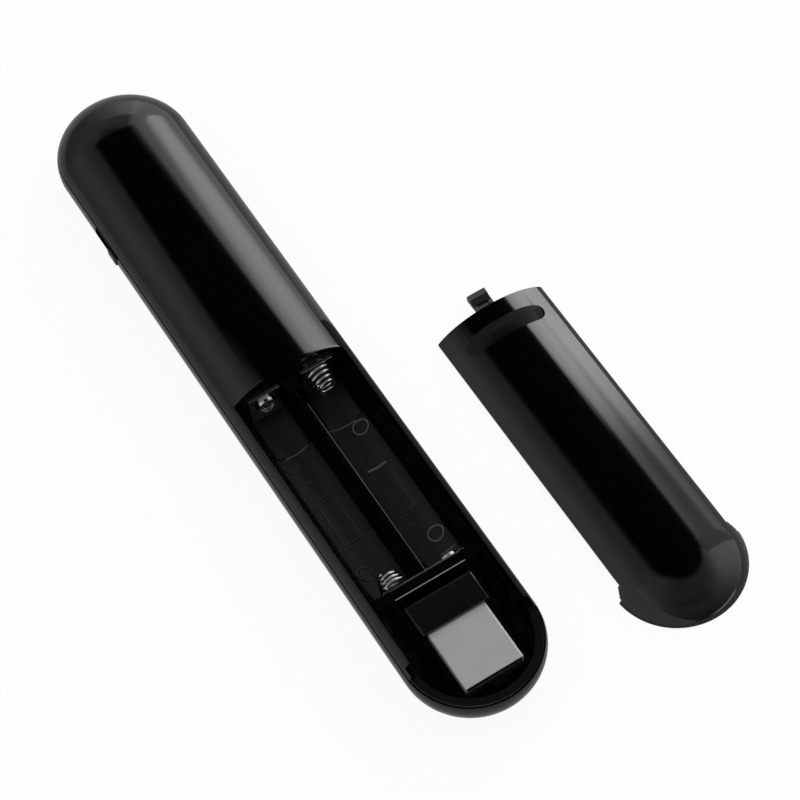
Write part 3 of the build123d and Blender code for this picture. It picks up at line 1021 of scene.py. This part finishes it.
@dataclass
class Housing:
    """Front and rear shell of the presenter. Millimetres."""

    stock: Stock
    form: BarForm = field(default_factory=BarForm)
    wall: float = 1.6
    parting: float = 10.2
    opening_half: float = 11.7
    opening_top: float = -0.5
    rail_edge: float = 12.3
    rail_step: float = 11.1
    first_step: float = -62.2
    second_step: float = -64.2
    bite: float = 1.0
    edge: float = 0.12
    coplanar: float = 0.4

    def build(self) -> list[Object]:
        """Builds both shells."""
        return [self.rear(), self.front()]

    def rear(self) -> Object:
        """Builds the rear shell: closed over the nose, stepped rails beside the bays."""
        half, top, below = self.opening_half, self.opening_top, self.parting - self.bite
        shell = self.form.solid("rear_shell_skin", 0.0).work(self.form.solid("bar_core", self.wall))
        shell.cut_boxes(
            (
                ((-FAR, -FAR, -FAR), (FAR, FAR, self.parting)),
                ((-half, self.second_step, below), (half, top, FAR)),
                ((-FAR, -FAR, self.rail_edge), (FAR, top, FAR)),
                ((-FAR, -FAR, self.rail_step), (FAR, self.first_step, FAR)),
                ((-FAR, -FAR, below), (FAR, self.second_step, FAR)),
            )
        )
        return self._finish(shell, "rear_shell")

    def front(self) -> Object:
        """Builds the front shell from its CAD node, whose dish, posts and key holes it keeps."""
        shell = Solid.copy(self.stock.nodes["front_shell"], "front_shell_skin")
        return self._finish(shell.merge().flatten(self.coplanar), "front_shell")

    def _finish(self, shell: Solid, node: str) -> Object:
        """Rounds, shades and hands over a shell.

        Args:
            shell: the piece.
            node: the CAD node that it stands for.

        Returns:
            Its object.
        """
        shell.soften(self.edge, 2, 50.0).smooth().even()
        return self.stock.hand_over(shell, "gloss_black", "housing", node=node)


@dataclass
class BatteryCover:
    """Battery cover, modelled in its closed place and then laid beside the body. Millimetres."""

    stock: Stock
    form: BarForm = field(default_factory=lambda: BarForm(facets=66, spin_steps=120))
    wall: float = 1.4
    half: float = 11.6
    top: float = -0.6
    rim: float = 10.35
    skirt: float = 11.4
    step: float = 11.2
    first_step: float = -62.3
    second_step: float = -64.3
    lean_level: float = 12.45
    lean: Point = (0.978, 0.0, -0.208)
    lean_bite: float = 4.0
    flare: float = 12.8
    flare_overlap: float = 0.1
    flare_margin: float = 3.0
    flare_leans: tuple[Point, Point] = ((0.849, 0.485, -0.208), (0.587, 0.782, -0.208))
    flare_levels: tuple[float, float] = (11.0, 10.0)
    groove_y: float = -6.3
    groove_length: float = 17.2
    groove_width: float = 4.0
    groove_depth: float = 0.08
    groove_slopes: tuple[tuple[float, float], ...] = (
        (36.0, 0.7), (23.0, 0.5), (19.7, 0.5), (19.2, 0.5), (18.8, 0.5), (18.4, 0.6), (18.0, 0.7),
    )
    groove_across: float = 36.0
    groove_run: tuple[float, float] = (-40.0, 30.0)
    groove_sides: int = 720
    end_sides: int = 96
    tool_low: float = 5.0
    tool_high: float = 30.0
    pad_depth: float = 1.1
    pad_margins: tuple[float, float] = (0.9, 0.8)
    pad_overlap: float = 0.1
    stop_low: Point = (9.7, -62.35, 5.0)
    stop_high: Point = (14.0, -60.25, 12.05)
    tab_half: float = 1.95
    tab_root: float = -5.5
    tab_tip: float = 4.3
    tab_low: float = 13.1
    tab_top: float = 14.0
    tab_lip: float = 14.5
    tab_under: float = 15.2
    tab_high: float = 15.75
    hook_back: float = 2.0
    hook_front: float = 0.88
    hook_slope: float = 0.5
    hook_top: float = 16.0
    root_rise: float = 0.9
    root_before: float = 2.0
    root_run: float = 1.92
    root_slope: float = 0.54
    root_bottom: float = 10.0
    sliver: float = 0.01
    window_half: float = 1.15
    window_run: tuple[float, float] = (-0.2, 2.0)
    window_depth: float = 0.4
    pitch: float = 0.9444
    edge: float = 0.1
    tab_edge: float = 0.08
    reach: float = 9.0

    def build(self) -> list[Object]:
        """Builds the cover and its latch tab.

        Returns:
            Both objects.
        """
        cover = self.form.solid("battery_cover_skin", 0.0)
        cover.cut_boxes([((-FAR, self.top, -FAR), (FAR, FAR, FAR))])
        self._sides(cover)
        cover.work(self.form.solid("cover_core", self.wall))
        cover.cut_boxes(self._steps()).work(self._pad(), Solver.ADD).work(self._groove())
        cover.merge(FINE).soften(self.edge, 3, 40.0)
        tab = self._tab().merge(FINE).soften(self.tab_edge, 3, 40.0)
        for piece in (cover, tab):
            piece.smooth().even()
        self._lay(cover, tab)
        return [
            self.stock.hand_over(cover, "gloss_black", "cover", node="battery_cover"),
            self.stock.hand_over(tab, "gloss_black", "cover", "latch_grey"),
        ]

    def _sides(self, cover: Solid) -> None:
        """Cuts the leaning sides and the flared corners at their ends.

        Args:
            cover: the bar that is cut.
        """
        half, margin = self.half, self.flare_margin
        start = self.first_step + self.flare_overlap
        leans = ((half, start, self.lean_level, self.lean),)
        places = zip((half, self.flare), (start, self.second_step), self.flare_levels, self.flare_leans)
        cutters = (
            (half - self.lean_bite, FAR, start, FAR, leans),
            (half, self.form.half_width + margin, self.second_step - margin, start, tuple(places)),
        )
        for side in (-1, 1):
            for near, far, low, high, slices in cutters:
                x0, x1 = sorted((side * near, side * far))
                tool = Solid.box("cut_side", (x0, low, -FAR), (x1, high, FAR))
                for x, y, level, lean in slices:
                    tool.slice((side * x, y, level), (side * lean[0], *lean[1:]))
                cover.work(tool)

    def _steps(self) -> list[tuple[Point, Point]]:
        """Lists the boxes below the rim, the skirt and the rail steps, and those of the stops."""
        first, second, step = self.first_step, self.second_step, self.step
        boxes = [
            ((-FAR, -FAR, -FAR), (FAR, FAR, self.rim)),
            ((-FAR, first, -FAR), (FAR, FAR, self.skirt)),
            ((-FAR, second, -FAR), (-self.half, first, step)),
            ((self.half, second, -FAR), (FAR, first, step)),
        ]
        for side in (-1, 1):
            low, high = sorted((side * self.stop_low[0], side * self.stop_high[0]))
            boxes.append(((low, *self.stop_low[1:]), (high, *self.stop_high[1:])))
        return boxes

    def _groove(self) -> Solid:
        """Makes the tool of the thumb scoop, whose hollow floor falls towards its lower edge."""
        radius = self.groove_width / 2
        end = self.groove_length / 2 - radius
        upper = self.groove_y + radius
        low, high = self.tool_low, self.tool_high
        tool = Solid.box("groove_tool", (-end, self.groove_y - radius, low), (end, upper, high))
        for x in (-end, end):
            start, tip = (x, self.groove_y, low), (x, self.groove_y, high)
            tool.work(Solid.rod("groove_end", start, tip, radius, self.end_sides), Solver.ADD)
        along, fall = 0.0, self.groove_depth
        for slope, stride in self.groove_slopes:
            angle = math.radians(slope)
            top = self.form.height - fall
            start, tip = ((0.0, y, top - self.groove_across) for y in self.groove_run)
            floor = Solid.rod("groove_floor", start, tip, self.groove_across, self.groove_sides)
            tool.work(floor.turn(angle, (0.0, upper - along, top)))
            along += stride
            fall += stride * math.tan(angle)
        return tool

    def _pad(self) -> Solid:
        """Makes the thicker part of the wall under the thumb scoop."""
        x = self.groove_length / 2 + self.pad_margins[0]
        y = self.groove_width / 2 + self.pad_margins[1]
        low, high = (-x, self.groove_y - y, self.tool_low), (x, self.groove_y + y, self.tool_high)
        block = Solid.box("pad_block", low, high)
        pad = self.form.solid("scoop_pad", self.wall - self.pad_overlap).work(block, Solver.KEEP)
        return pad.work(self.form.solid("pad_core", self.wall + self.pad_depth))

    def _tab(self) -> Solid:
        """Makes the latch tab with its hollow, lip and sloped root."""
        half, far, top, tip, root = self.tab_half, self.reach, self.tab_top, self.tab_tip, self.tab_root
        hook, shoulder = tip - self.hook_back, self.tab_low + self.root_rise
        above = self.tool_high
        tab = Solid.box("latch_tab", (-half, root, self.tab_low), (half, tip, self.tab_high))
        tab.cut_boxes(
            (
                ((-far, self.top, self.tab_lip), (far, far, above)),
                ((-far, self.top, top), (far, hook + self.sliver, above)),
                ((-far, -far, self.tab_under), (far, self.top + self.sliver, above)),
            )
        )
        slope = Solid.box("tab_slope", (-far, hook, top), (far, tip - self.hook_front, self.hook_top))
        tab.work(slope.turn(math.atan(self.hook_slope), (0.0, hook, top)))
        low = (-far, root - self.root_before, self.root_bottom)
        slope = Solid.box("root_slope", low, (far, root + self.root_run, shoulder))
        tab.work(slope.turn(-math.atan(self.root_slope), (0.0, root, shoulder)))
        x, (low, high) = self.window_half, self.window_run
        return tab.cut_boxes([((-x, low, top - self.window_depth), (x, high, above))])

    def _lay(self, cover: Solid, tab: Solid) -> None:
        """Rocks the cover onto its rim and moves it to where its CAD node lies.

        Args:
            cover: the finished cover.
            tab: its latch tab, which goes with it.
        """
        for piece in (cover, tab):
            piece.turn(-math.radians(self.pitch), ZEROS)
        low, high = (Vector(corner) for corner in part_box("battery_cover"))
        places = [vertex.co for vertex in cover.obj.data.vertices]
        own_low, own_high = (
            Vector([limit(place[axis] for place in places) for axis in range(3)]) for limit in (min, max)
        )
        shift = Vector(((low.x + high.x - own_low.x - own_high.x) / 2, low.y - own_low.y, low.z - own_low.z))
        log.info("cover laid: shift %s, high %s against %s", shift / MM, (own_high + shift) / MM, high / MM)
        for piece in (cover, tab):
            piece.shift(shift / MM)


@dataclass
class TroughMarks:
    """Ring marks, cell outline and polarity signs moulded on one trough's floor, in light finishes that are
    painted highlights. Millimetres.

    The left trough has side -1 and the right one side 1.
    """

    stock: Stock
    side: int
    bay_x: float = 5.65
    axis_level: float = 8.35
    radius: float = 5.35
    height: float = 0.16
    prism_top: float = 6.5
    layer_run: tuple[float, float] = (-43.4, -10.3)
    layer_skin: float = 0.3
    layer_sides: int = 192
    core_run: tuple[float, float] = (-60.0, 5.0)
    ring_sides: int = 64
    line: float = 0.28
    ring: float = 1.6
    ring_line: float = 0.3
    near: float = 3.8
    wide: float = 7.7
    top: float = -21.0
    top_gap: float = 0.52
    low: float = -32.0
    nub: float = 0.75
    joint_gap: float = 0.02
    sign_line: float = 0.36
    sign_half: float = 0.75
    bar_width: float = 0.5
    edge: float = 0.06
    coplanar: float = 0.3
    steps: tuple[float, float] = (-10.35, -43.35)
    upper_lips: tuple[tuple[float, float], ...] = ((2.6, 7.4), (1.9, 7.6))
    lower_lip: tuple[float, float] = (6.0, 9.0)
    rings: tuple[tuple[float, float], ...] = ((7.6, -12.4), (7.5, -39.0), (-7.6, -12.4), (-7.5, -39.0))
    pluses: tuple[tuple[float, float], ...] = ((-6.2, -17.2), (5.15, -35.2))
    minuses: tuple[tuple[float, float], ...] = ((5.3, -17.5), (-5.2, -35.2))

    def faint(self) -> Object:
        """Builds the marks with a faint painted highlight: outline and signs, with the rings of the left
        trough.
        """
        rings = self._rings() if self.side < 0 else []
        return self._piece("faint", self._cell() + self._signs() + rings)

    def clear(self) -> Object:
        """Builds the marks with a clear painted highlight: lips, with the end bar and the rings of the right
        trough.
        """
        marks = []
        if self.side > 0:
            marks = [self._bar(self.near, self.wide, self.top, self.top - self.bar_width), *self._rings()]
        return self._piece("clear", marks + self._lips())

    def _layer(self) -> Solid:
        """Makes the thin layer that lies on the trough's floor."""
        rods = []
        outer, inner = self.radius + self.layer_skin, self.radius - self.height
        for run, radius in ((self.layer_run, outer), (self.core_run, inner)):
            start, end = ((self.side * self.bay_x, y, self.axis_level) for y in run)
            rods.append(Solid.rod("mark_layer", start, end, radius, self.layer_sides))
        return rods[0].work(rods[1])

    def _bar(self, x0: float, x1: float, y0: float, y1: float) -> Solid:
        """Makes an upright prism over a rectangle of the floor.

        Args:
            x0: its one side.
            x1: its other side.
            y0: its one end.
            y1: its other end.

        Returns:
            The prism.
        """
        low, high = (min(x0, x1), min(y0, y1), 0.0), (max(x0, x1), max(y0, y1), self.prism_top)
        return Solid.box("mark_bar", low, high)

    def _cell(self) -> list[Solid]:
        """Makes the thin outline of the cell, with the nub of its positive end."""
        side, line, gap, nub = self.side, self.line, self.joint_gap, self.nub
        near, wide = side * self.near, side * self.wide
        middle = (near + wide) / 2
        end, way = (self.top, 1) if side < 0 else (self.low, -1)
        flank = (self.top - self.top_gap, self.low + line + gap)
        rows = [
            (near, wide, self.low, self.low + line),
            (near, near + side * line, *flank),
            (wide - side * line, wide, *flank),
            (middle - nub, middle - nub + line, end + way * gap, end + way * nub),
            (middle + nub - line, middle + nub, end + way * gap, end + way * nub),
            (middle - nub, middle + nub, end + way * (nub + gap), end + way * (nub + line)),
        ]
        if side < 0:
            rows.append((near, wide, self.top, self.top - line))
        return [self._bar(*row) for row in rows]

    def _signs(self) -> list[Solid]:
        """Makes the polarity signs; a minus is the plus without its two arms."""
        bars = []
        half, arm = self.sign_line / 2, self.sign_half
        start = half + self.joint_gap
        for places, crossed in ((self.pluses, True), (self.minuses, False)):
            for x, y in self._own(places):
                bars.append(self._bar(x - half, x + half, y - arm, y + arm))
                if crossed:
                    bars.append(self._bar(x - arm, x - start, y - half, y + half))
                    bars.append(self._bar(x + start, x + arm, y - half, y + half))
        return bars

    def _own(self, places: Sequence[tuple[float, float]]) -> list[tuple[float, float]]:
        """Picks the places that lie in this trough.

        Args:
            places: places in both troughs.

        Returns:
            Those in this one.
        """
        return [place for place in places if place[0] * self.side > 0]

    def _rings(self) -> list[Solid]:
        """Makes the ejector rings as short tubes."""
        made = []
        top, sides, inner = self.prism_top, self.ring_sides, self.ring - self.ring_line
        for x, y in self._own(self.rings):
            ring = Solid.rod("mark_ring", (x, y, 0.0), (x, y, top), self.ring, sides)
            made.append(ring.work(Solid.rod("ring_hole", (x, y, -1.0), (x, y, top + 1.0), inner, sides)))
        return made

    def _lips(self) -> list[Solid]:
        """Makes the thin lips at the steps of the floor."""
        side, (upper, lower) = self.side, self.steps
        near, wide = self.upper_lips[side > 0]
        bars = [self._bar(side * near, side * wide, upper - self.line, upper)]
        if side > 0:
            bars.append(self._bar(*self.lower_lip, lower, lower + self.line))
        return bars

    def _piece(self, look: str, marks: list[Solid]) -> Object:
        """Lays marks on the floor as one piece.

        Args:
            look: how bright their painted highlight is, faint or clear.
            marks: the prisms.

        Returns:
            Its object.
        """
        name = "left" if self.side < 0 else "right"
        piece = Solid.join(f"{name}_{look}_marks", marks).work(self._layer(), Solver.KEEP)
        piece.merge(FINE).flatten(self.coplanar).soften(self.edge, 2, 50.0).smooth()
        # painted highlight: the faint or clear mark finish is a light grey that stands in for the marks'
        # glints
        return self.stock.hand_over(piece, "tray_black", "housing", f"{look}_mark")


@dataclass
class BayMarks:
    """The marks of both troughs."""

    stock: Stock

    def build(self) -> list[Object]:
        """Builds the marks.

        Returns:
            Their objects.
        """
        left, right = (TroughMarks(self.stock, side) for side in (-1, 1))
        return [right.clear(), left.faint(), right.faint(), left.clear()]


@dataclass
class PaintedGlintBeads:
    """Thin light beads along the tray's upper edges, painted highlights that stand in for the glints on those
    edges. Millimetres.
    """

    stock: Stock
    # painted highlights: each bead's light finish stands in for a glint along that edge
    beads: tuple[tuple[str, Point, Point, float, str], ...] = (
        ("pocket_wall_glint", (-7.3, -50.06, 11.16), (7.3, -50.06, 11.16), 0.11, "painted_glint_bead"),
        ("bay_wall_glint", (-7.3, -48.04, 11.16), (7.3, -48.04, 11.16), 0.08, "clear_mark"),
        ("ridge_glint", (0.6, -47.9, 9.97), (0.6, -6.0, 9.97), 0.08, "clear_mark"),
    )
    rounding: float = 0.6
    sides: int = 16

    def build(self) -> list[Object]:
        """Builds the beads.

        Returns:
            Their objects.
        """
        made = []
        for name, start, end, radius, look in self.beads:
            bead = Solid.rod(name, start, end, radius, self.sides)
            bead.soften(radius * self.rounding, 2, 60.0).smooth()
            made.append(self.stock.hand_over(bead, "tray_black", "housing", look))
        return made


@dataclass
class RefinedNodes:
    """CAD nodes whose shape is right, given rounded edges and their finish."""

    stock: Stock
    widths: tuple[tuple[str, float], ...] = (
        ("battery_tray", 0.18),
        ("receiver_housing", 0.1),
        ("plug_shell", 0.08),
        ("positive_plate", 0.06),
        ("spring_plate", 0.06),
        ("bridge_plate", 0.06),
        ("switch_slider", 0.08),
        ("switch_can", 0.1),
        ("laser_button", 0.06),
        ("next_button", 0.06),
        ("back_button", 0.06),
        ("blank_button", 0.06),
    )
    coplanar: float = 0.5
    smooth_up_to: float = 40.0

    def build(self) -> list[Object]:
        """Makes a refined copy of each named node, with edges as wide as its row says.

        Returns:
            Their objects.
        """
        made = []
        for node, width in self.widths:
            piece = Solid.copy(self.stock.nodes[node], f"{node}_fine").merge()
            piece.flatten(self.coplanar).soften(width).smooth(self.smooth_up_to).even()
            slot, body = self.stock.slots[node], self.stock.bodies.get(node, "housing")
            made.append(self.stock.hand_over(piece, slot, body, node=node))
        return made


# ---- studio ---------------------------------------------------------------------------


def stage_sheet(
    shade: Port, width: float, height: float, middle: Sequence[float], turn: Point, mirrored_only: bool
) -> None:
    """Adds a flat sheet, named after its recipe, with its shader. Metres.

    Args:
        shade: its shader.
        width: its size along its own X.
        height: its size along its own Y.
        middle: its middle.
        turn: its turn in radians.
        mirrored_only: whether only reflections show it.
    """
    material = shade.recipe.close(shade)
    Solid.clear()
    bpy.ops.mesh.primitive_plane_add(size=1.0, location=middle, rotation=turn)
    sheet = Solid.settle(material.name, (width, height, 1.0)).obj
    sheet.data.materials.append(material)
    if mirrored_only:
        for flag in ("visible_camera", "visible_diffuse", "visible_shadow", "visible_transmission"):
            setattr(sheet, flag, False)


@dataclass(frozen=True)
class SoftBox:
    """Rectangular lamp over the presenter: where it stands, how wide and how bright. Metres, degrees."""

    name: str
    azimuth: float
    elevation: float
    width: float
    height: float
    glow: float
    distance: float
    mirrored: bool
    target: Point = (0.01, 0.0, 0.01)

    def hang(self) -> None:
        """Adds the lamp."""
        az, el = math.radians(self.azimuth), math.radians(self.elevation)
        way = Vector((math.sin(az) * math.cos(el), math.cos(az) * math.cos(el), math.sin(el)))
        lamp = bpy.data.lights.new(self.name, "AREA")
        lamp.shape = "RECTANGLE"
        lamp.size = 2 * self.distance * math.tan(math.radians(self.width) / 2)
        lamp.size_y = 2 * self.distance * math.tan(math.radians(self.height) / 2)
        lamp.energy = self.glow * math.pi * lamp.size * lamp.size_y
        obj = bpy.data.objects.new(self.name, lamp)
        obj.location = Vector(self.target) + way * self.distance
        obj.rotation_euler = (-way).to_track_quat("-Z", "Y").to_euler()
        obj.visible_glossy = self.mirrored
        bpy.context.scene.collection.objects.link(obj)


@dataclass(frozen=True)
class Gauze:
    """Upright gauze beside the cover, which dims one half of its mirrored side and lights the other."""

    foot: Point = (0.1493, 0.0589, 0.0)
    along: Point = (0.574, -0.819, 0.0)
    start: float = -0.12
    end: float = 0.12
    height: float = 0.22
    mark: float = 0.037
    dim: float = 0.52
    least: float = 0.16
    glow: float = 20.0
    per_metre: float = 1000.0

    def hang(self) -> None:
        """Adds the gauze."""
        r = Recipe("studio_gauze")
        x, y, level = r.axes(r.place())
        side = (x - self.foot[0]) * self.along[0] + (y - self.foot[1]) * self.along[1]
        edge = self.mark - level * 0.10 - level * level * 1.25
        past = (side - edge) * self.per_metre
        lit = past.rise(24.0, -12.0) * past.rise(-50.0, -28.0) * (0.85 - level * 1.2)
        lit = lit * (level - past * 0.00067).rise(0.150, 0.142)
        cover = past.rise(0.0, 32.0) * self.dim
        alpha = (lit * self.least + 0.001).at_least(cover)
        values = {
            "Base Color": BLACK,
            "Roughness": 1.0,
            "Specular IOR Level": 0.0,
            "Alpha": alpha,
            "Emission Color": r.blend(lit * self.least / alpha, BLACK, WHITE),
            "Emission Strength": self.glow,
        }
        shade = r.add("ShaderNodeBsdfPrincipled", {}, values)
        way = Vector(self.along)
        middle = Vector(self.foot) + way * ((self.start + self.end) / 2) + Vector((0.0, 0.0, self.height / 2))
        turn = (math.pi / 2, 0.0, math.atan2(way.y, way.x))
        stage_sheet(shade, self.end - self.start, self.height, middle, turn, True)


@dataclass(frozen=True)
class Screen:
    """Low upright screen between body and cover, plain and bright."""

    name: str
    x: float
    facing: int
    glow: float
    start: float = -0.16
    end: float = 0.012
    height: float = 0.0125

    def hang(self) -> None:
        """Adds the screen."""
        shade = Recipe(self.name).add("ShaderNodeEmission", {}, {"Color": WHITE, "Strength": self.glow})
        middle = (self.x, (self.start + self.end) / 2, self.height / 2)
        turn = (0.0, self.facing * math.pi / 2, 0.0)
        stage_sheet(shade, self.height, self.end - self.start, middle, turn, True)


@dataclass(frozen=True)
class Floor:
    """White floor that keeps soft shadows and looks bright to the camera and in mirrors."""

    width: float = 5.0
    white: float = 0.9
    glow: float = 0.92
    mirrored: float = 0.45

    def hang(self) -> None:
        """Lays the floor."""
        r = Recipe("studio_floor")
        path = r.make("ShaderNodeLightPath", {}, {})
        seen = Port(r, path.outputs["Is Camera Ray"])
        passed = Port(r, path.outputs["Is Transmission Ray"])
        mirrored = Port(r, path.outputs["Is Glossy Ray"]).at_least(passed)
        matte = r.add("ShaderNodeBsdfDiffuse", {}, {"Color": (self.white,) * 3})
        strength = seen + (1.0 - seen) * self.mirrored
        glow = r.add("ShaderNodeEmission", {}, {"Color": WHITE, "Strength": strength})
        share = seen.at_least(mirrored) * self.glow
        shade = r.add("ShaderNodeMixShader", {}, {0: share, 1: matte, 2: glow})
        stage_sheet(shade, self.width, self.width, ZEROS, ZEROS, False)


@dataclass(frozen=True)
class Room:
    """Soft boxes round the table as one glow over all directions, with a black board above.

    Its curves are pairs of angle in degrees and level; azimuth is 0 along Y and 90 along X.
    """

    around: Stops = (
        (-180, 0.25), (-158, 0.27), (-142, 0.32), (-128, 0.42), (-112, 0.62), (-98, 0.80), (-82, 0.83),
        (-68, 0.68), (-52, 0.60), (-38, 0.44), (-22, 0.39), (8, 0.38), (22, 0.40), (38, 0.45),
        (52, 0.50), (98, 0.50), (112, 0.45), (128, 0.40), (142, 0.35), (158, 0.27), (180, 0.25),
    )
    upward: Stops = (
        (-90, 0.30), (-15, 0.42), (0, 0.52), (11, 0.62), (19, 0.75), (26, 0.90), (34, 1.00), (41, 0.95),
        (49, 0.72), (56, 0.52), (64, 0.36), (71, 0.33), (90, 0.25),
    )
    key: Stops = (
        (-180, 0.0), (27, 0.0), (31, 0.62), (36, 0.85), (42, 1.0), (90, 0.95), (104, 0.85), (118, 0.5),
        (134, 0.18), (158, 0.0),
    )
    nose: Stops = ((-180, 0.0), (-5, 0.0), (4, 0.12), (14, 0.35), (24, 0.75), (30, 0.70), (38, 0.0))
    strip: Stops = (
        (-90, 0.0), (-10, 0.0), (4, 0.16), (11, 0.4), (19, 0.76), (26, 1.0), (34, 0.92), (41, 0.52),
        (49, 0.05), (56, 0.0),
    )
    strip_glow: float = 2.5
    board_left: float = 0.38
    board_right: float = 0.81
    board_top: float = 0.85
    board_bend: float = 0.5
    board_end: float = 0.69
    board_corner: float = 0.2
    board_black: float = 0.985
    board_low: float = 0.34
    spot: tuple[float, float] = (0.05, 0.86)
    window_top: float = 5.0
    window_fade: float = 3.0
    window_glow: float = 3.0
    window_tint: Colour = (0.80, 0.88, 1.0)

    @staticmethod
    def _curve(angle: Port, stops: Stops, half: float = 180.0) -> Port:
        """Reads a curve over an angle.

        Args:
            angle: the angle in degrees, from minus half to half.
            stops: pairs of angle and level.
            half: the greatest angle.

        Returns:
            The level.
        """
        places = [(0.5 + stop / (2 * half), level) for stop, level in stops]
        return angle.recipe.ramp(angle / (2 * half) + 0.5, places)

    def _board(self, x: Port, y: Port, z: Port) -> Port:
        """Gives the black board that hangs above, a rectangle with one round end and a soft nose side.

        Args:
            x: the direction's part along X.
            y: its part along Y.
            z: its part along Z.

        Returns:
            1 on the board, 0 beside it.
        """
        rise = z.at_least(0.001)
        across, along = x / rise, y / rise
        below = (along - self.board_bend).at_most(0.0)
        jut = along.rise(0.59, 0.63) * 0.13 - along.rise(0.66, 0.74) * 0.10
        slant = (along - self.board_bend).at_least(0.0).at_most(0.06) - along.rise(0.66, 0.72) * 0.16
        left = across + self.board_left + below * 0.1 + jut
        right = self.board_right + slant + below * 0.13 - across
        middle = (right - left) / 2.0
        half = (right + left) / 2.0
        round_end = ((middle / half) ** 2.0 + (below / self.board_end) ** 2.0) ** 0.5
        sides = (1.0 - round_end) * half
        top = self.board_top - (across - 0.1).at_least(0.0) * 0.1 - along
        corner = self.board_corner
        gap = ((corner - sides).at_least(0.0) ** 2.0 + (corner - top).at_least(0.0) ** 2.0) ** 0.5
        soft_side = (across + 0.33 + jut).rise(-0.12, 0.12).at_least(below.rise(-0.1, -0.3))
        inside = (corner - gap).rise(-0.045, 0.09) * soft_side
        away = ((across - self.spot[0]) ** 2.0 + (along - self.spot[1]) ** 2.0) ** 0.5
        full = inside * (1.0 - right.rise(0.28, 0.02) * 0.035)
        return full.at_least(away.rise(0.3, 0.0) * 0.5) * z.over(self.board_low)

    def hang(self) -> None:
        """Makes the room and gives it to the scene."""
        r = Recipe("studio_room", room=True)
        x, y, z = r.axes(r.add("ShaderNodeTexCoord", {}, {}, "Generated"))
        azimuth = r.add("ShaderNodeMath", {"operation": "ARCTAN2"}, {0: x, 1: y}) * math.degrees(1.0)
        elevation = r.add("ShaderNodeMath", {"operation": "ARCSINE"}, {0: z}) * math.degrees(1.0)
        glow = self._curve(azimuth, self.around) * self._curve(elevation, self.upward, 90.0)
        low = 1.0 - (22.0 - elevation).rise(0.0, 40.0) * azimuth.rise(64.0, 40.0) * 0.45
        glow = glow + self._curve(azimuth, self.key) * elevation.rise(62.0, 44.0) * low
        nose = self._curve(azimuth, self.nose) * elevation.rise(33.0, 29.0)
        glow = glow + nose * elevation.rise(-25.0, 15.0)
        middle = (28.0 - elevation).at_least(0.0) * 0.75 + 51.5
        strip = (azimuth - middle).size().rise(10.0, 3.0) * self._curve(elevation, self.strip, 90.0)
        glow = glow + strip * self.strip_glow + elevation.rise(48.0, 62.0) * 0.15
        glow = glow * (1.0 - self._board(x, y, z) * self.board_black)
        window = azimuth.size().rise(126.0, 136.0) * azimuth.size().rise(174.0, 160.0)
        window = window * elevation.rise(self.window_top, self.window_top - self.window_fade)
        tint = r.blend(window, WHITE, self.window_tint)
        glow = glow + window * self.window_glow
        room = r.add("ShaderNodeBackground", {}, {"Color": tint, "Strength": glow})
        bpy.context.scene.world = r.close(room)


@dataclass(frozen=True)
class Camera:
    """Camera that the size was solved with. Millimetres and degrees."""

    lens: float = 129.4096
    sensor: float = 36.0
    at: Point = (-96.53, -258.93, 466.18)
    turn: Point = (27.446, -13.758, -36.073)
    clip: tuple[float, float] = (0.01, 20.0)

    def hang(self) -> None:
        """Sets up the camera."""
        data = bpy.data.cameras.new("camera")
        data.lens = self.lens
        data.sensor_width = self.sensor
        data.clip_start, data.clip_end = self.clip
        camera = bpy.data.objects.new("camera", data)
        camera.rotation_mode = "ZXY"
        camera.rotation_euler = [math.radians(angle) for angle in self.turn]
        camera.location = [value * MM for value in self.at]
        bpy.context.scene.collection.objects.link(camera)
        bpy.context.scene.camera = camera


STUDIO = (
    Camera(),
    Floor(),
    SoftBox("sky_fill", 0.0, 89.9, 70.0, 70.0, 1.05, 1.6, False),
    Gauze(),
    Screen("left_screen", 0.0209, -1, 0.10),
    Screen("right_screen", 0.0211, 1, 0.66),
    Room(),
)


# ---- making ---------------------------------------------------------------------------


def main(frame: dict) -> None:
    """Builds the scene in order.
    """
    logging.basicConfig(level=logging.INFO, format="%(message)s")
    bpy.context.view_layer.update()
    stock = Stock(frame)
    stock.dress_nodes()
    for thing in STUDIO:
        thing.hang()
    bpy.context.scene.view_settings.view_transform = "Standard"
    for kind in (Housing, BatteryCover, RefinedNodes, BayMarks, PaintedGlintBeads):
        for piece in kind(stock).build():
            log.info("%s: %d faces", piece.name, len(piece.data.polygons))


if __name__ == "__main__":
    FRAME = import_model()
    main(FRAME)
